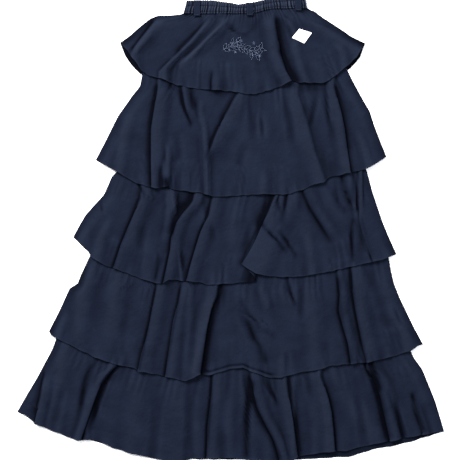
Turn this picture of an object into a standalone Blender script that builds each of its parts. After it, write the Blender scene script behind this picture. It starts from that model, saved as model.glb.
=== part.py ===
"""Five-tier knit skirt laid flat on a table, front side up.

The waistband points along +Y, the hem along -Y and the front faces +Z. The origin is the middle of
the footprint, on the table. Plan points are in millimetres, and every mesh is made in metres.
"""

import math
from dataclasses import dataclass

import bpy
import numpy as np
from mathutils import Vector
from mathutils.bvhtree import BVHTree

MM = 0.001
ABOVE = 0.1  # metres; higher than any of the cloth

# Cloth and seams
CLOTH = 1.0  # thickness of the knit
SEAM = 0.3  # gap between pieces that are sewn together
BAND_JOIN = 1.2  # gap in plan between the waistband and the curved edge of tier 1
LAYER = 2.2  # rise from one layer of a pleat to the next
TURN = 1.5  # length of cloth taken by a pleat's turn
TUCK_UNDER = 50.0  # each tier is sewn on this far above the hem of the tier over it
FADE = 40.0  # length over which a pleat opens out
SETTLE = 44.0  # a pleat stands at its full height this far along before its layers close
CLEAR = 0.55  # air between one panel and the next
COVER_AIR = 1.9  # air between a tier and the folds of the tier that it covers

# Heights of a panel's middle surface over the table
BACK_LEVEL = CLOTH / 2
BACK_TUCKED_LEVEL = BACK_LEVEL + CLOTH + CLEAR
TUCKED_LEVEL = BACK_TUCKED_LEVEL + CLOTH + CLEAR
BODY_LEVEL = 6.0
HEM_LEVEL = 8.5
DEEPEST_TROUGH = -4.0

# Lengths over which those heights change
EDGE_ROUNDING = 22.0  # the front comes down to the back over this width at each side
BACK_DROP = (8.0, 45.0)  # the back comes down to the table this far below the hem over it
BODY_RISE = (-10.0, 60.0)  # the front rises from its tucked level this far below that hem
HEM_RISE = 70.0  # the front goes over to its hem level this far above its hem
FOLD_OPENING = 110.0  # the folds of a covered tier open out over this length from its seam
COVERED_SIDE = 24.0  # the cloth over a pleat comes down beside it over this width
FLOOR_SIDE = (18.0, 12.0)  # a tier rests on the tier below from this far outside its sides, blended over
FLOOR_TOP = (16.0, 14.0)  # and from this far above its sewn edge, blended over

# Grid of a panel
FRONT_ROWS = (0.0, 0.14, 0.28, 0.42, 0.56, 0.70, 0.84, 1.0)
BACK_ROWS = (0.0, 0.2, 0.36, 0.52, 0.76, 1.0)
FRONT_PITCH = 19.0
BACK_PITCH = 48.0
COLUMN_GAP = 3.0  # least room between two folds; the side keeps twice that

# Waistband
BAND_LOWER = (
    (-94, 424), (-60, 423), (-30, 423), (0, 423.5), (30, 423.5), (50, 425), (66, 430), (84, 433),
    (152, 434),
)
BAND_UPPER = (
    (-87, 450), (-60, 451), (-34, 451), (-16, 448), (2, 446), (14, 443), (44, 447), (80, 455),
    (146, 465),
)
BAND_WALL = 2.2
BAND_BACK_WALL = 3.4
RIB_PITCH = 5.6
RIB_HEIGHT = 1.5
RIB_LEAST = 0.3  # share of a rib's height that is left at a line of stitches
CHANNEL_HEIGHT = 0.8  # fullness of each elastic channel
STITCH_LINES = (0.42, 0.85)  # share of the band's height, from its top edge down

# Belt loops and the sewn-on patch
LOOP_WIDTH = 14.0
LOOP_THICKNESS = 1.2
LOOP_OVERHANG = 4.0
LOOP_INSET = 0.5  # a loop's top edge lies this far below the band's
BACK_LOOP_SHORTER = 6.0
LOOP_CENTRES = (-67.0, 38.0, 134.0)
PATCH_CORNERS = ((121.5, 376), (136, 394), (161, 386), (146, 365))
PATCH_THICKNESS = 1.0
PATCH_GAP = 0.55  # over the outside of the cloth
PATCH_STEPS = 5

NAVY = (0.014, 0.019, 0.038, 1.0)
NAVY_DARK = (0.009, 0.012, 0.026, 1.0)
WHITE = (0.86, 0.86, 0.88, 1.0)


@dataclass(frozen=True)
class Fold:
    """One fold of a tier, followed in plan from the gathered edge down.

    lay is RIGHT_OVER or LEFT_OVER for a pleat, named for the side that lies on top, and SOFT for a
    ridge, or for a trough where rise is below zero. spread is how far the raised cloth takes to
    come down again. A fold that is born starts at its first point, one that dies ends at its last.
    lift draws the hem of the upper layer up at the pleat's edge.
    """

    path: tuple
    lay: int
    rise: float
    spread: float
    overlap: float = 0.0
    born: bool = False
    dies: bool = False
    lift: float = 0.0


SOFT, RIGHT_OVER, LEFT_OVER = 0, -1, 1


@dataclass(frozen=True)
class Tier:
    """One tier: its side edges from the gathered edge down, its hems from left to right, its folds."""

    name: str
    left: tuple
    right: tuple
    hem: tuple
    back_hem: tuple
    folds: tuple
    hem_level: float = HEM_LEVEL


TIERS = (
    Tier(
        name="tier_1",
        left=(
            (-92, 423), (-106, 422.5), (-124, 421), (-144, 421), (-160, 415), (-180, 399), (-200, 381),
            (-220, 367),
        ),
        right=((152, 433), (166, 430), (180, 419), (200, 406), (220, 393), (240, 379), (267, 366)),
        hem=(
            (-220, 367), (-206, 352), (-198, 341), (-186, 325), (-175, 309), (-160, 300), (-138, 295),
            (-110, 283), (-68, 275), (-26, 272), (6, 269), (34, 264), (52, 265), (80, 273), (100, 280),
            (122, 291), (134, 287), (184, 286), (196, 292), (210, 303), (230, 319), (250, 338), (267, 366),
        ),
        back_hem=(
            (-220, 367), (-216, 351), (-204, 331), (-190, 315), (-178, 304), (-150, 290), (-60, 264),
            (20, 258),
            (120, 272), (190, 284), (230, 311), (240, 319), (254, 333), (262, 347), (267, 366),
        ),
        folds=(
            Fold(((-150, 415), (-174, 381), (-202, 347)), RIGHT_OVER, 5.5, 30),
            Fold(((-54, 411), (-86, 371), (-146, 309)), RIGHT_OVER, 4.6, 22, 5, born=True),
            Fold(((-10, 421), (-60, 371), (-116, 319)), RIGHT_OVER, 6.0, 30, 7, dies=True),
            Fold(((-36, 311), (-38, 271)), RIGHT_OVER, 5.0, 20, 5, born=True),
            Fold(((68, 428), (78, 385), (86, 345), (98, 311), (110, 290)), SOFT, 4.5, 15),
            Fold(((84, 425), (92, 385), (100, 345), (112, 311), (128, 285)), RIGHT_OVER, 9.0, 34, 9),
            Fold(((-10, 405), (20, 385), (30, 375)), SOFT, -2.0, 16, born=True, dies=True),
            Fold(((140, 427), (160, 411), (194, 398), (226, 381)), SOFT, -2.0, 16, dies=True),
            Fold(((170, 345), (186, 286)), SOFT, 3.0, 30, born=True),
        ),
    ),
    Tier(
        name="tier_2",
        left=(
            (-158, 349), (-169, 325), (-176, 303), (-180, 281), (-196, 261), (-224, 221), (-252, 165),
            (-268, 134),
        ),
        right=(
            (214, 357), (222, 333), (240, 295), (264, 251), (276, 231), (284, 205), (294, 179),
            (309, 141),
        ),
        hem=(
            (-268, 134), (-226, 111), (-190, 89), (-150, 77), (-124, 81), (-116, 75), (-60, 69), (-46, 60),
            (-20, 61), (64, 66), (110, 65), (144, 75), (164, 85), (184, 89), (194, 99), (266, 115),
            (290, 127), (309, 141),
        ),
        back_hem=(
            (-268, 134), (-190, 92), (-150, 80), (-46, 64), (64, 69), (144, 79), (194, 101), (266, 118),
            (309, 141),
        ),
        folds=(
            Fold(((-146, 287), (-154, 245), (-164, 195), (-164, 135), (-162, 80)), RIGHT_OVER, 7.0, 26, 8),
            Fold(((-126, 155), (-134, 125), (-134, 80)), RIGHT_OVER, 5.4, 12, 5, born=True),
            Fold(((-100, 271), (-92, 245), (-80, 221), (-64, 190)), SOFT, -2.6, 14, dies=True),
            Fold(((-84, 275), (-77, 242), (-70, 205)), RIGHT_OVER, 5.4, 18, 5, dies=True),
            Fold(((-54, 205), (-50, 155), (-48, 62)), SOFT, 5.0, 16, born=True),
            Fold(
                ((8, 264), (-4, 249), (-24, 211), (-40, 175), (-52, 130)),
                RIGHT_OVER, 5.6, 34, 6, dies=True,
            ),
            Fold(((30, 175), (16, 125), (22, 62)), SOFT, -3.0, 15, born=True),
            Fold(((64, 235), (66, 195), (62, 150)), SOFT, 3.0, 22, born=True, dies=True),
            Fold(((100, 130), (104, 64)), SOFT, 3.0, 24, born=True),
            Fold(
                ((134, 261), (150, 215), (158, 185), (166, 155), (176, 125), (187, 92)),
                LEFT_OVER, 8.0, 34, 8,
            ),
            Fold(((190, 271), (192, 235), (200, 195), (204, 165)), SOFT, -2.6, 12, dies=True),
            Fold(
                ((206, 279), (210, 262), (220, 225), (228, 195), (234, 155), (240, 108)),
                RIGHT_OVER, 7.5, 26, 8,
            ),
        ),
    ),
    Tier(
        name="tier_3",
        left=(
            (-204, 150), (-215, 130), (-226, 111), (-236, 101), (-252, 65), (-274, 41), (-288, 25),
            (-300, 5), (-313, -20),
        ),
        right=((256, 160), (262, 137), (274, 99), (280, 75), (290, 45), (300, 15), (312, -15), (329, -52)),
        hem=(
            (-313, -20), (-284, -43), (-279, -57), (-250, -75), (-220, -85), (-180, -101), (-146, -111),
            (-134, -111),
            (-122, -103), (-60, -109), (-46, -114), (62, -107), (140, -99), (200, -87), (260, -73),
            (308, -62), (329, -52),
        ),
        back_hem=(
            (-313, -20), (-279, -52), (-220, -82), (-146, -107), (-46, -110), (62, -104), (140, -96),
            (260, -70), (329, -52),
        ),
        folds=(
            Fold(
                ((-178, 85), (-178, 59), (-188, 35), (-204, -1), (-218, -35), (-233, -82)),
                RIGHT_OVER, 6.0, 26, 6,
            ),
            Fold(((-142, -56), (-148, -80), (-150, -110)), SOFT, -2.8, 9, born=True),
            Fold(((-122, 80), (-119, 40), (-124, 0), (-134, -40)), SOFT, 6.0, 14, dies=True),
            Fold(
                ((-78, 72), (-82, 49), (-96, 31), (-108, 11), (-118, -21), (-120, -45), (-134, -111)),
                RIGHT_OVER, 7.0, 20, 6,
            ),
            Fold(
                ((-36, 62), (-44, 25), (-60, -9), (-70, -41), (-80, -75), (-88, -106)),
                RIGHT_OVER, 5.6, 24, 6,
            ),
            Fold(((-16, -70), (-20, -112)), SOFT, -2.4, 10, born=True),
            Fold(((14, 60), (4, 0), (0, -60)), SOFT, 3.0, 24, dies=True),
            Fold(
                ((92, 75), (84, 55), (76, 32), (64, -3), (52, -37), (36, -76), (21, -110)),
                RIGHT_OVER, 6.5, 34, 30, lift=37,
            ),
            Fold(((100, -9), (112, -31), (122, -55)), SOFT, -2.6, 14, born=True, dies=True),
            Fold(((112, 70), (104, 19), (100, 0)), SOFT, -2.6, 14, dies=True),
            Fold(
                ((144, 80), (156, 45), (176, 15), (192, -9), (206, -32)),
                RIGHT_OVER, 5.6, 24, 6, dies=True,
            ),
            Fold(((206, 95), (210, 45), (226, 24), (236, 12)), SOFT, -2.4, 14, dies=True),
            Fold(((236, 14), (238, -35), (242, -78)), RIGHT_OVER, 5.4, 14, 5, born=True),
            Fold(
                ((220, 110), (228, 75), (240, 55), (256, 25), (264, -5), (272, -35), (285, -68)),
                RIGHT_OVER, 6.4, 22, 6,
            ),
        ),
    ),
    Tier(
        name="tier_4",
        left=(
            (-260, -14), (-272, -38), (-280, -57), (-298, -95), (-304, -111), (-320, -121), (-340, -165),
            (-361, -206),
        ),
        right=(
            (300, -14), (307, -38), (314, -61), (318, -85), (324, -111), (336, -141), (364, -199),
            (382, -232),
        ),
        hem=(
            (-361, -206), (-357, -214), (-310, -237), (-270, -257), (-230, -271), (-190, -279),
            (-182, -285), (-130, -295),
            (-90, -305), (-60, -291), (-40, -293), (-4, -281), (24, -278), (44, -287), (80, -299),
            (100, -297), (140, -287),
            (180, -281), (192, -275), (270, -267), (310, -259), (356, -245), (370, -236), (382, -232),
        ),
        back_hem=(
            (-361, -206), (-310, -232), (-230, -267), (-130, -290), (-60, -286), (24, -274), (100, -290),
            (192, -271), (310, -255), (382, -232),
        ),
        folds=(
            Fold(((-286, -110), (-300, -180), (-312, -236)), SOFT, 3.5, 26),
            Fold(((-222, -100), (-240, -180), (-252, -262)), SOFT, 4.0, 34),
            Fold(
                ((-148, -109), (-156, -145), (-162, -185), (-170, -221), (-180, -249), (-186, -282)),
                RIGHT_OVER, 6.4, 26, 6,
            ),
            Fold(
                ((-98, -107), (-104, -145), (-114, -185), (-120, -225), (-130, -296)),
                RIGHT_OVER, 5.4, 24, 6,
            ),
            Fold(
                ((-24, -115), (-25, -134), (-38, -161), (-46, -195), (-52, -235), (-60, -291)),
                LEFT_OVER, 8.0, 24, 8,
            ),
            Fold(((16, -150), (36, -205), (50, -235), (74, -297)), SOFT, -3.4, 16, born=True),
            Fold(((104, -99), (114, -125), (126, -160)), SOFT, -2.8, 14, dies=True),
            Fold(((110, -215), (110, -296)), SOFT, 3.5, 24, born=True),
            Fold(((160, -120), (164, -200), (160, -285)), SOFT, 3.6, 28),
            Fold(((192, -220), (185, -280)), SOFT, -2.4, 12, born=True),
            Fold(
                ((212, -95), (216, -135), (214, -165), (222, -195), (232, -229), (238, -270)),
                RIGHT_OVER, 6.0, 16, 6,
            ),
            Fold(
                ((242, -85), (244, -125), (250, -165), (258, -205), (266, -245), (272, -267)),
                RIGHT_OVER, 6.4, 30, 6,
            ),
            Fold(((270, -75), (288, -125), (302, -165), (318, -210), (330, -252)), SOFT, -2.8, 18),
            Fold(((330, -150), (352, -246)), SOFT, 2.5, 16, born=True),
        ),
    ),
    Tier(
        name="tier_5",
        left=(
            (-330, -177), (-341, -203), (-348, -225), (-356, -245), (-370, -271), (-386, -301),
            (-404, -331), (-424, -366),
        ),
        right=(
            (344, -198), (352, -225), (358, -247), (364, -259), (380, -281), (394, -315), (406, -345),
            (424, -405),
        ),
        hem=(
            (-424, -366), (-394, -379), (-390, -389), (-340, -409), (-304, -423), (-280, -421),
            (-260, -425), (-236, -437),
            (-180, -453), (-130, -463), (-90, -464), (-70, -458), (0, -457), (40, -462), (90, -464),
            (122, -463), (132, -455),
            (190, -445), (230, -443), (280, -431), (340, -419), (400, -408), (424, -405),
        ),
        back_hem=(
            (-424, -366), (-386, -384), (-300, -417), (-180, -449), (-90, -460), (0, -461), (90, -460),
            (140, -461), (240, -455),
            (264, -447), (290, -439), (320, -435), (360, -425), (424, -405),
        ),
        folds=(
            Fold(((-374, -285), (-380, -335), (-393, -385)), RIGHT_OVER, 5.2, 20, 5, born=True),
            Fold(((-330, -240), (-340, -300), (-352, -404)), SOFT, 3.5, 26),
            Fold(((-276, -275), (-288, -305), (-294, -335), (-300, -375), (-314, -420)), SOFT, -3.0, 12),
            Fold(
                ((-225, -262), (-240, -292), (-254, -315), (-266, -341), (-276, -365), (-294, -421)),
                LEFT_OVER, 8.0, 22, 7,
            ),
            Fold(((-180, -290), (-190, -360), (-196, -450)), SOFT, 3.5, 34),
            Fold(((-110, -305), (-112, -380), (-116, -464)), SOFT, 3.0, 34),
            Fold(((-36, -296), (-40, -345), (-46, -395), (-48, -457)), RIGHT_OVER, 6.6, 30, 7),
            Fold(((28, -290), (36, -335), (30, -385), (36, -415)), SOFT, -3.0, 12, dies=True),
            Fold(((46, -300), (64, -355), (76, -395), (92, -464)), RIGHT_OVER, 8.5, 20, 6),
            Fold(((112, -296), (118, -335), (126, -385), (134, -455)), RIGHT_OVER, 6.4, 24, 6),
            Fold(((182, -296), (196, -335), (204, -365), (208, -405), (212, -444)), RIGHT_OVER, 8.5, 30, 7),
            Fold(
                ((262, -280), (276, -300), (292, -335), (302, -375), (316, -424)),
                RIGHT_OVER, 10.0, 26, 10,
            ),
            Fold(((352, -330), (358, -365), (366, -412)), RIGHT_OVER, 5.4, 14, 5, born=True),
        ),
        hem_level=4.6,
    ),
)


def smooth(t):
    """Smooth step from 0 at t = 0 to 1 at t = 1."""
    t = np.clip(t, 0.0, 1.0)
    return t * t * (3.0 - 2.0 * t)


def along_x(points, x):
    """Height in plan of a line of points that runs from left to right."""
    xs, ys = np.array(points, float).T
    return np.interp(x, xs, ys)


def along_path(points, y):
    """Position in x of a line of points that runs down the skirt."""
    xs, ys = np.array(points, float).T
    return np.interp(-np.asarray(y, float), -ys, xs)


def at_share(points, share):
    """Plan points at these shares of a line's length."""
    line = np.array(points, float)
    steps = np.hypot(*np.diff(line, axis=0).T)
    length = np.concatenate([[0.0], np.cumsum(steps)]) / steps.sum()
    return np.stack([np.interp(share, length, line[:, 0]), np.interp(share, length, line[:, 1])], -1)


def distance_to(points, x, y):
    """Distance in plan from (x, y) to a line of points."""
    nearest = np.full(np.shape(x), 1e9)
    for (ax, ay), (bx, by) in zip(points, points[1:]):
        along = ((x - ax) * (bx - ax) + (y - ay) * (by - ay)) / ((bx - ax) ** 2 + (by - ay) ** 2)
        along = np.clip(along, 0.0, 1.0)
        nearest = np.minimum(nearest, np.hypot(x - ax - along * (bx - ax), y - ay - along * (by - ay)))
    return nearest


def smooth_max(a, b, blend=1.2):
    """The higher of two surfaces, rounded where they meet."""
    return (a + b + np.sqrt((a - b) ** 2 + blend**2)) / 2


class Panel:
    """Front or back of one tier as a surface over the plan."""

    def __init__(self, index, is_front):
        self.tier = TIERS[index]
        self.index = index
        self.is_front = is_front
        self.hem = self.tier.hem if is_front else self.tier.back_hem
        over = TIERS[index - 1] if index else None
        self.over_hem = over and (over.hem if is_front else over.back_hem)
        self.top = self.gathered_edge(over)

    def gathered_edge(self, over):
        """The edge that is sewn to the waistband, or under the tier above and parallel to its hem."""
        (x0, y0), (x1, y1) = self.tier.left[0], self.tier.right[0]
        if over is None:
            inner = [(x, y - BAND_JOIN) for x, y in BAND_LOWER[1:-1]]
        else:
            inner = [(x, y + TUCK_UNDER) for x, y in over.hem if x0 + 20 < x < x1 - 20]
        return [(x0, y0), *inner, (x1, y1)]

    def below_over_hem(self, x, y):
        """How far a point lies below the hem of the tier above; large where there is none."""
        if self.over_hem is None:
            return np.full(np.shape(x), 1e3)
        return along_x(self.over_hem, x) - y

    def back_level(self, x, y):
        """Middle surface of the back: on the table, but over the hem of the tier above."""
        start, end = BACK_DROP
        tucked = 1.0 - smooth((self.below_over_back_hem(x, y) - start) / (end - start))
        return BACK_LEVEL + (BACK_TUCKED_LEVEL - BACK_LEVEL) * tucked

    def below_over_back_hem(self, x, y):
        if self.index == 0:
            return np.full(np.shape(x), 1e3)
        return along_x(TIERS[self.index - 1].back_hem, x) - y

    def strength(self, fold, x, y):
        """Share of a fold's rise that has opened out at this point."""
        if self.index:
            share = smooth((self.below_over_hem(x, y) + TUCK_UNDER) / FOLD_OPENING)
        else:
            share = smooth((along_x(BAND_LOWER, x) - y) / FADE)
        if fold.born:
            share = share * smooth((fold.path[0][1] - y) / FADE)
        if fold.dies:
            share = share * smooth((y - fold.path[-1][1]) / FADE)
        return share

    def fold_height(self, fold, x, y, covered):
        """Height that one fold adds. covered rounds off a pleat's open side for the cloth over it."""
        across = x - along_path(fold.path, y)
        if fold.lay == SOFT:
            shape = 1.0 - smooth(np.abs(across) / fold.spread)
        else:
            across = -across if fold.lay == LEFT_OVER else across
            shape = 1.0 - smooth((across - fold.overlap) / fold.spread)
            open_side = 1.0 - smooth(-across / COVERED_SIDE) if covered else (across >= 0.0)
            shape = shape * open_side
        return fold.rise * shape * self.strength(fold, x, y)

    def relief(self, x, y, skip=None, covered=False):
        """Ridges and raised pleats together, less the troughs."""
        ridges, troughs = np.zeros(np.shape(x)), np.zeros(np.shape(x))
        for fold in self.tier.folds:
            if fold is skip:
                continue
            height = self.fold_height(fold, x, y, covered)
            if fold.rise > 0:
                ridges = ridges + np.abs(height) ** 3
            else:
                troughs = troughs + height
        return np.cbrt(ridges) + np.maximum(troughs, DEEPEST_TROUGH)

    def height(self, x, y, skip=None, covered=False):
        """Middle surface of this panel over the table at a plan point."""
        if not self.is_front:
            return self.back_level(x, y)
        back = self.back_level(x, y)
        below = self.below_over_hem(x, y)
        above_hem = y - along_x(self.hem, x)
        start, end = BODY_RISE
        level = TUCKED_LEVEL + (BODY_LEVEL - TUCKED_LEVEL) * smooth((below - start) / (end - start))
        level = level + (self.tier.hem_level - level) * (1.0 - smooth(above_hem / HEM_RISE))
        wanted = level + self.relief(x, y, skip, covered)
        z = smooth_max(wanted, self.floor(x, y, back))
        side = np.minimum(distance_to(self.tier.left, x, y), distance_to(self.tier.right, x, y))
        seam_level = back + CLOTH + CLEAR
        return seam_level + (z - seam_level) * smooth(side / EDGE_ROUNDING)

    def floor(self, x, y, back):
        """Lowest that the front may lie: on its own back, and over the front of the tier below."""
        lowest = back + CLOTH + CLEAR
        if self.index == len(TIERS) - 1:
            return lowest
        under = Panel(self.index + 1, True)
        inside_left = x - along_path(under.tier.left, y)
        inside_right = along_path(under.tier.right, y) - x
        (side, side_blend), (above, top_blend) = FLOOR_SIDE, FLOOR_TOP
        inside = smooth((np.minimum(inside_left, inside_right) + side) / side_blend)
        reached = smooth((along_x(under.top, x) + above - y) / top_blend)
        cover = under.height(x, y, covered=True) + CLOTH + COVER_AIR
        return lowest + (np.maximum(cover, lowest) - lowest) * inside * reached

    def plan(self, across, down):
        """Plan point at a share across the panel and a share down it, between its four edges."""
        across, down = np.broadcast_arrays(np.asarray(across, float), np.asarray(down, float))
        edges = []
        for line in (self.top, self.hem):
            x = line[0][0] + across * (line[-1][0] - line[0][0])
            edges.append(np.stack([x, along_x(line, x)], -1))
        a, d = across[..., None], down[..., None]
        corners = [np.array(p, float) for p in (self.top[0], self.top[-1], self.hem[0], self.hem[-1])]
        rows = (1 - d) * edges[0] + d * edges[1]
        sides = (1 - a) * at_share(self.tier.left, down) + a * at_share(self.tier.right, down)
        ends = (1 - d) * ((1 - a) * corners[0] + a * corners[1]) + d * ((1 - a) * corners[2] + a * corners[3])
        return rows + sides - ends

    def crossing(self, fold, down):
        """Share across the panel at which a row meets a fold."""
        across = np.linspace(0.0, 1.0, 241)
        points = self.plan(across, down)
        off = points[:, 0] - along_path(fold.path, points[:, 1])
        return float(np.interp(0.0, np.maximum.accumulate(off), across))


# A pleat's section from its lower side to its upper one. While shut, a point lies at a share of the
# overlap and a few millimetres more; while flat, at its own place. Its height is in shares of a layer
# and of the rise, and its lift in shares of the fold's.
#   overlap, shut, flat, layer, rise, lift
PLEAT_SECTION = (
    (0.0, -3.0, -6.0, 0.0, 0.0, 0.0),
    (1.0, -TURN, -3.6, 0.0, 0.0, 0.0),
    (1.0, 0.0, -1.8, 0.38, 0.0, 0.1),
    (1.0, -TURN, -0.6, 0.78, 0.0, 0.25),
    (0.0, TURN, 0.6, 1.25, 0.0, 1.0),
    (0.0, 0.0, 1.8, 0.6, 0.5, 1.0),
    (0.0, TURN, 3.6, 0.0, 1.0, 0.96),
    (1.0, 0.5, 6.0, 0.0, 1.0, 0.45),
)
PLEAT_ROOM = 6.0  # width of a pleat's section on its open side
SHUT_BLEND = 0.7  # a pleat's layers close while its rise grows by this much
FLAP_START = 0.42  # share of the way down at which a lifted pleat's overlap starts to grow
FLAP_LEAST = 0.25  # share of its overlap above that
LIFT_REACH = 38.0  # the lift dies away over this length


def pleat_points(panel, fold, down, across, length):
    """Section of a pleat in one row, as (share across, height, lift) from left to right."""
    here = panel.plan(across, down)
    raised = fold.rise * float(panel.strength(fold, here[0], here[1]))
    settled = [float(panel.strength(fold, here[0], here[1] + step)) for step in (SETTLE, 0.0, -SETTLE)]
    shut = float(smooth((min(settled if fold.dies else settled[:2]) * fold.rise - 2 * LAYER) / SHUT_BLEND))
    shut *= fold.overlap > 0
    grown = max(FLAP_LEAST, (down - FLAP_START) / (1.0 - FLAP_START)) if fold.lift else 1.0
    overlap = fold.overlap * grown
    side = -1.0 if fold.lay == LEFT_OVER else 1.0
    section = []
    for shut_share, shut_at, flat_at, of_layer, of_rise, of_lift in PLEAT_SECTION:
        at = flat_at + (shut_share * overlap + shut_at - flat_at) * shut
        share = across + side * at / length
        x, y = panel.plan(share, down)
        base = float(panel.height(x, y, skip=fold))
        layer = min(LAYER, raised / 2)
        added = of_layer * layer + of_rise * max(raised, 2 * layer)
        section.append((share, base + added, fold.lift * down**3 * of_lift))
    return section if side > 0 else section[::-1]


def row_of(panel, down, pitch, counts):
    """One row of a panel from left to right: plan point and height of each column."""
    length = float(np.hypot(*np.diff(panel.plan(np.linspace(0, 1, 121), down), axis=0).T).sum())
    pieces, reached = [], 0.0
    folds = sorted(panel.tier.folds, key=lambda f: panel.crossing(f, 0.6)) if panel.is_front else []
    for fold in folds:
        across = panel.crossing(fold, down)
        if fold.lay == SOFT:
            before, after = 0.0, 0.0
        elif fold.lay == RIGHT_OVER:
            before, after = PLEAT_ROOM, max(PLEAT_ROOM, fold.overlap)
        else:
            before, after = max(PLEAT_ROOM, fold.overlap), PLEAT_ROOM
        across = max(across, reached + (before + COLUMN_GAP) / length)
        across = min(across, 1.0 - (after + 2 * COLUMN_GAP) / length)
        if fold.lay == SOFT:
            x, y = panel.plan(across, down)
            pieces.append([(across, float(panel.height(x, y)), 0.0)])
        else:
            pieces.append(pleat_points(panel, fold, down, across, length))
        reached = across + after / length
    stops = [[(0.0, None, 0.0)], *pieces, [(1.0, None, 0.0)]]
    row = []
    lifted = next((f for f in folds if f.lift), None)
    for gap, (first, second) in enumerate(zip(stops, stops[1:])):
        row.extend(first if first[0][1] is not None else [])
        start, end = first[-1][0], second[0][0]
        if len(counts) <= gap:
            counts.append(max(1, round((end - start) * length / pitch)))
        inner = np.linspace(start, end, counts[gap] + 1)
        inner = inner[(0 if gap == 0 else 1) : (None if gap == len(stops) - 2 else -1)]
        for share in inner:
            x, y = panel.plan(share, down)
            row.append((share, float(panel.height(x, y)), 0.0))
    points = []
    for share, z, lift in row:
        x, y = panel.plan(share, down)
        if lifted is not None and lift == 0.0:
            past = x - along_path(lifted.path, y) - lifted.overlap
            if past > 0:
                lift = lifted.lift * down**3 * math.exp(-(past + lifted.overlap) / LIFT_REACH)
        points.append((x, y + lift, z))
    return points


def grid_mesh(name, rows):
    """Mesh of quads through a grid of points in millimetres."""
    columns = len(rows[0])
    mesh = bpy.data.meshes.new(name)
    vertices = [tuple(value * MM for value in point) for row in rows for point in row]
    faces = []
    for r in range(len(rows) - 1):
        for c in range(columns - 1):
            a = r * columns + c
            faces.append((a, a + columns, a + columns + 1, a + 1))
    mesh.from_pydata(vertices, [], faces)
    mesh.update()
    return mesh


def cloth_object(name, rows, thickness, material, parent, collection):
    """An open surface made into cloth of this thickness about its middle."""
    obj = bpy.data.objects.new(name, grid_mesh(name, rows))
    wall = obj.modifiers.new("Cloth", "SOLIDIFY")
    wall.thickness = thickness * MM
    wall.offset = 0.0
    obj.data.materials.append(material)
    obj.data.shade_smooth()
    obj.parent = parent
    collection.objects.link(obj)
    return obj


def block_object(name, lower, upper, material, parent, collection):
    """A closed solid between two grids with the same rows and columns."""
    rows, columns = len(upper), len(upper[0])
    mesh = bpy.data.meshes.new(name)
    below = [point for row in (lower[0], lower[-1]) for point in row]
    above = [point for row in upper for point in row]
    vertices = [tuple(value * MM for value in point) for point in above + below]
    first = len(above)
    faces = []
    for r in range(rows - 1):
        for c in range(columns - 1):
            a = r * columns + c
            faces.append((a, a + columns, a + columns + 1, a + 1))
    for c in range(columns - 1):
        near, far = first + c, first + columns + c
        faces.append((near, near + 1, far + 1, far))
        faces.append((c, c + 1, near + 1, near))
        last = (rows - 1) * columns + c
        faces.append((last + 1, last, far, far + 1))
    for column, flip in ((0, False), (columns - 1, True)):
        side = [r * columns + column for r in range(rows)]
        loop = [*side, first + columns + column, first + column]
        faces.append(tuple(loop if flip else loop[::-1]))
    mesh.from_pydata(vertices, [], faces)
    mesh.update()
    obj = bpy.data.objects.new(name, mesh)
    obj.data.materials.append(material)
    obj.parent = parent
    collection.objects.link(obj)
    return obj


BAND_FLOOR = LOOP_THICKNESS + SEAM
BAND_MIDDLE = BAND_FLOOR + BAND_BACK_WALL + SEAM


def band_point(across, down):
    """Plan point of the waistband at a share across it and a share down from its top edge."""
    edges = []
    for line in (BAND_UPPER, BAND_LOWER):
        x = line[0][0] + across * (line[-1][0] - line[0][0])
        edges.append((x, float(along_x(line, x))))
    (ux, uy), (lx, ly) = edges
    return ux + (lx - ux) * down, uy + (ly - uy) * down


def channel_swell(down):
    """How full the casing is at a share down the band: flat at its stitch lines and edges."""
    stops = (0.0, *STITCH_LINES, 1.0)
    for above, below in zip(stops, stops[1:]):
        if above <= down <= below:
            return math.sin(math.pi * (down - above) / (below - above))
    return 0.0


def make_waistband(material, parent, collection):
    """Shirred casing: a ribbed front over a plain back."""
    length = BAND_LOWER[-1][0] - BAND_LOWER[0][0]
    ribs = round(length / RIB_PITCH)
    columns = np.linspace(0.0, 1.0, 2 * ribs + 1)
    downs = (0.0, 0.12, 0.28, STITCH_LINES[0], 0.55, 0.72, STITCH_LINES[1], 1.0)
    upper, lower = [], []
    for down in downs:
        swell = channel_swell(down)
        row = []
        for c, across in enumerate(columns):
            x, y = band_point(across, down)
            rib = RIB_HEIGHT if c % 2 else 0.0
            z = BAND_MIDDLE + BAND_WALL + rib * (RIB_LEAST + (1 - RIB_LEAST) * swell)
            row.append((x, y, z + CHANNEL_HEIGHT * swell))
        upper.append(row)
        lower.append([(x, y, BAND_MIDDLE) for x, y, _ in row])
    block_object("waistband_front", lower, upper, material, parent, collection)
    plain_upper, plain_lower = [], []
    for down in (0.0, 1.0):
        points = [band_point(across, down) for across in np.linspace(0.0, 1.0, 25)]
        plain_upper.append([(x, y, BAND_MIDDLE - SEAM) for x, y in points])
        plain_lower.append([(x, y, BAND_FLOOR) for x, y in points])
    block_object("waistband_back", plain_lower, plain_upper, material, parent, collection)


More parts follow.
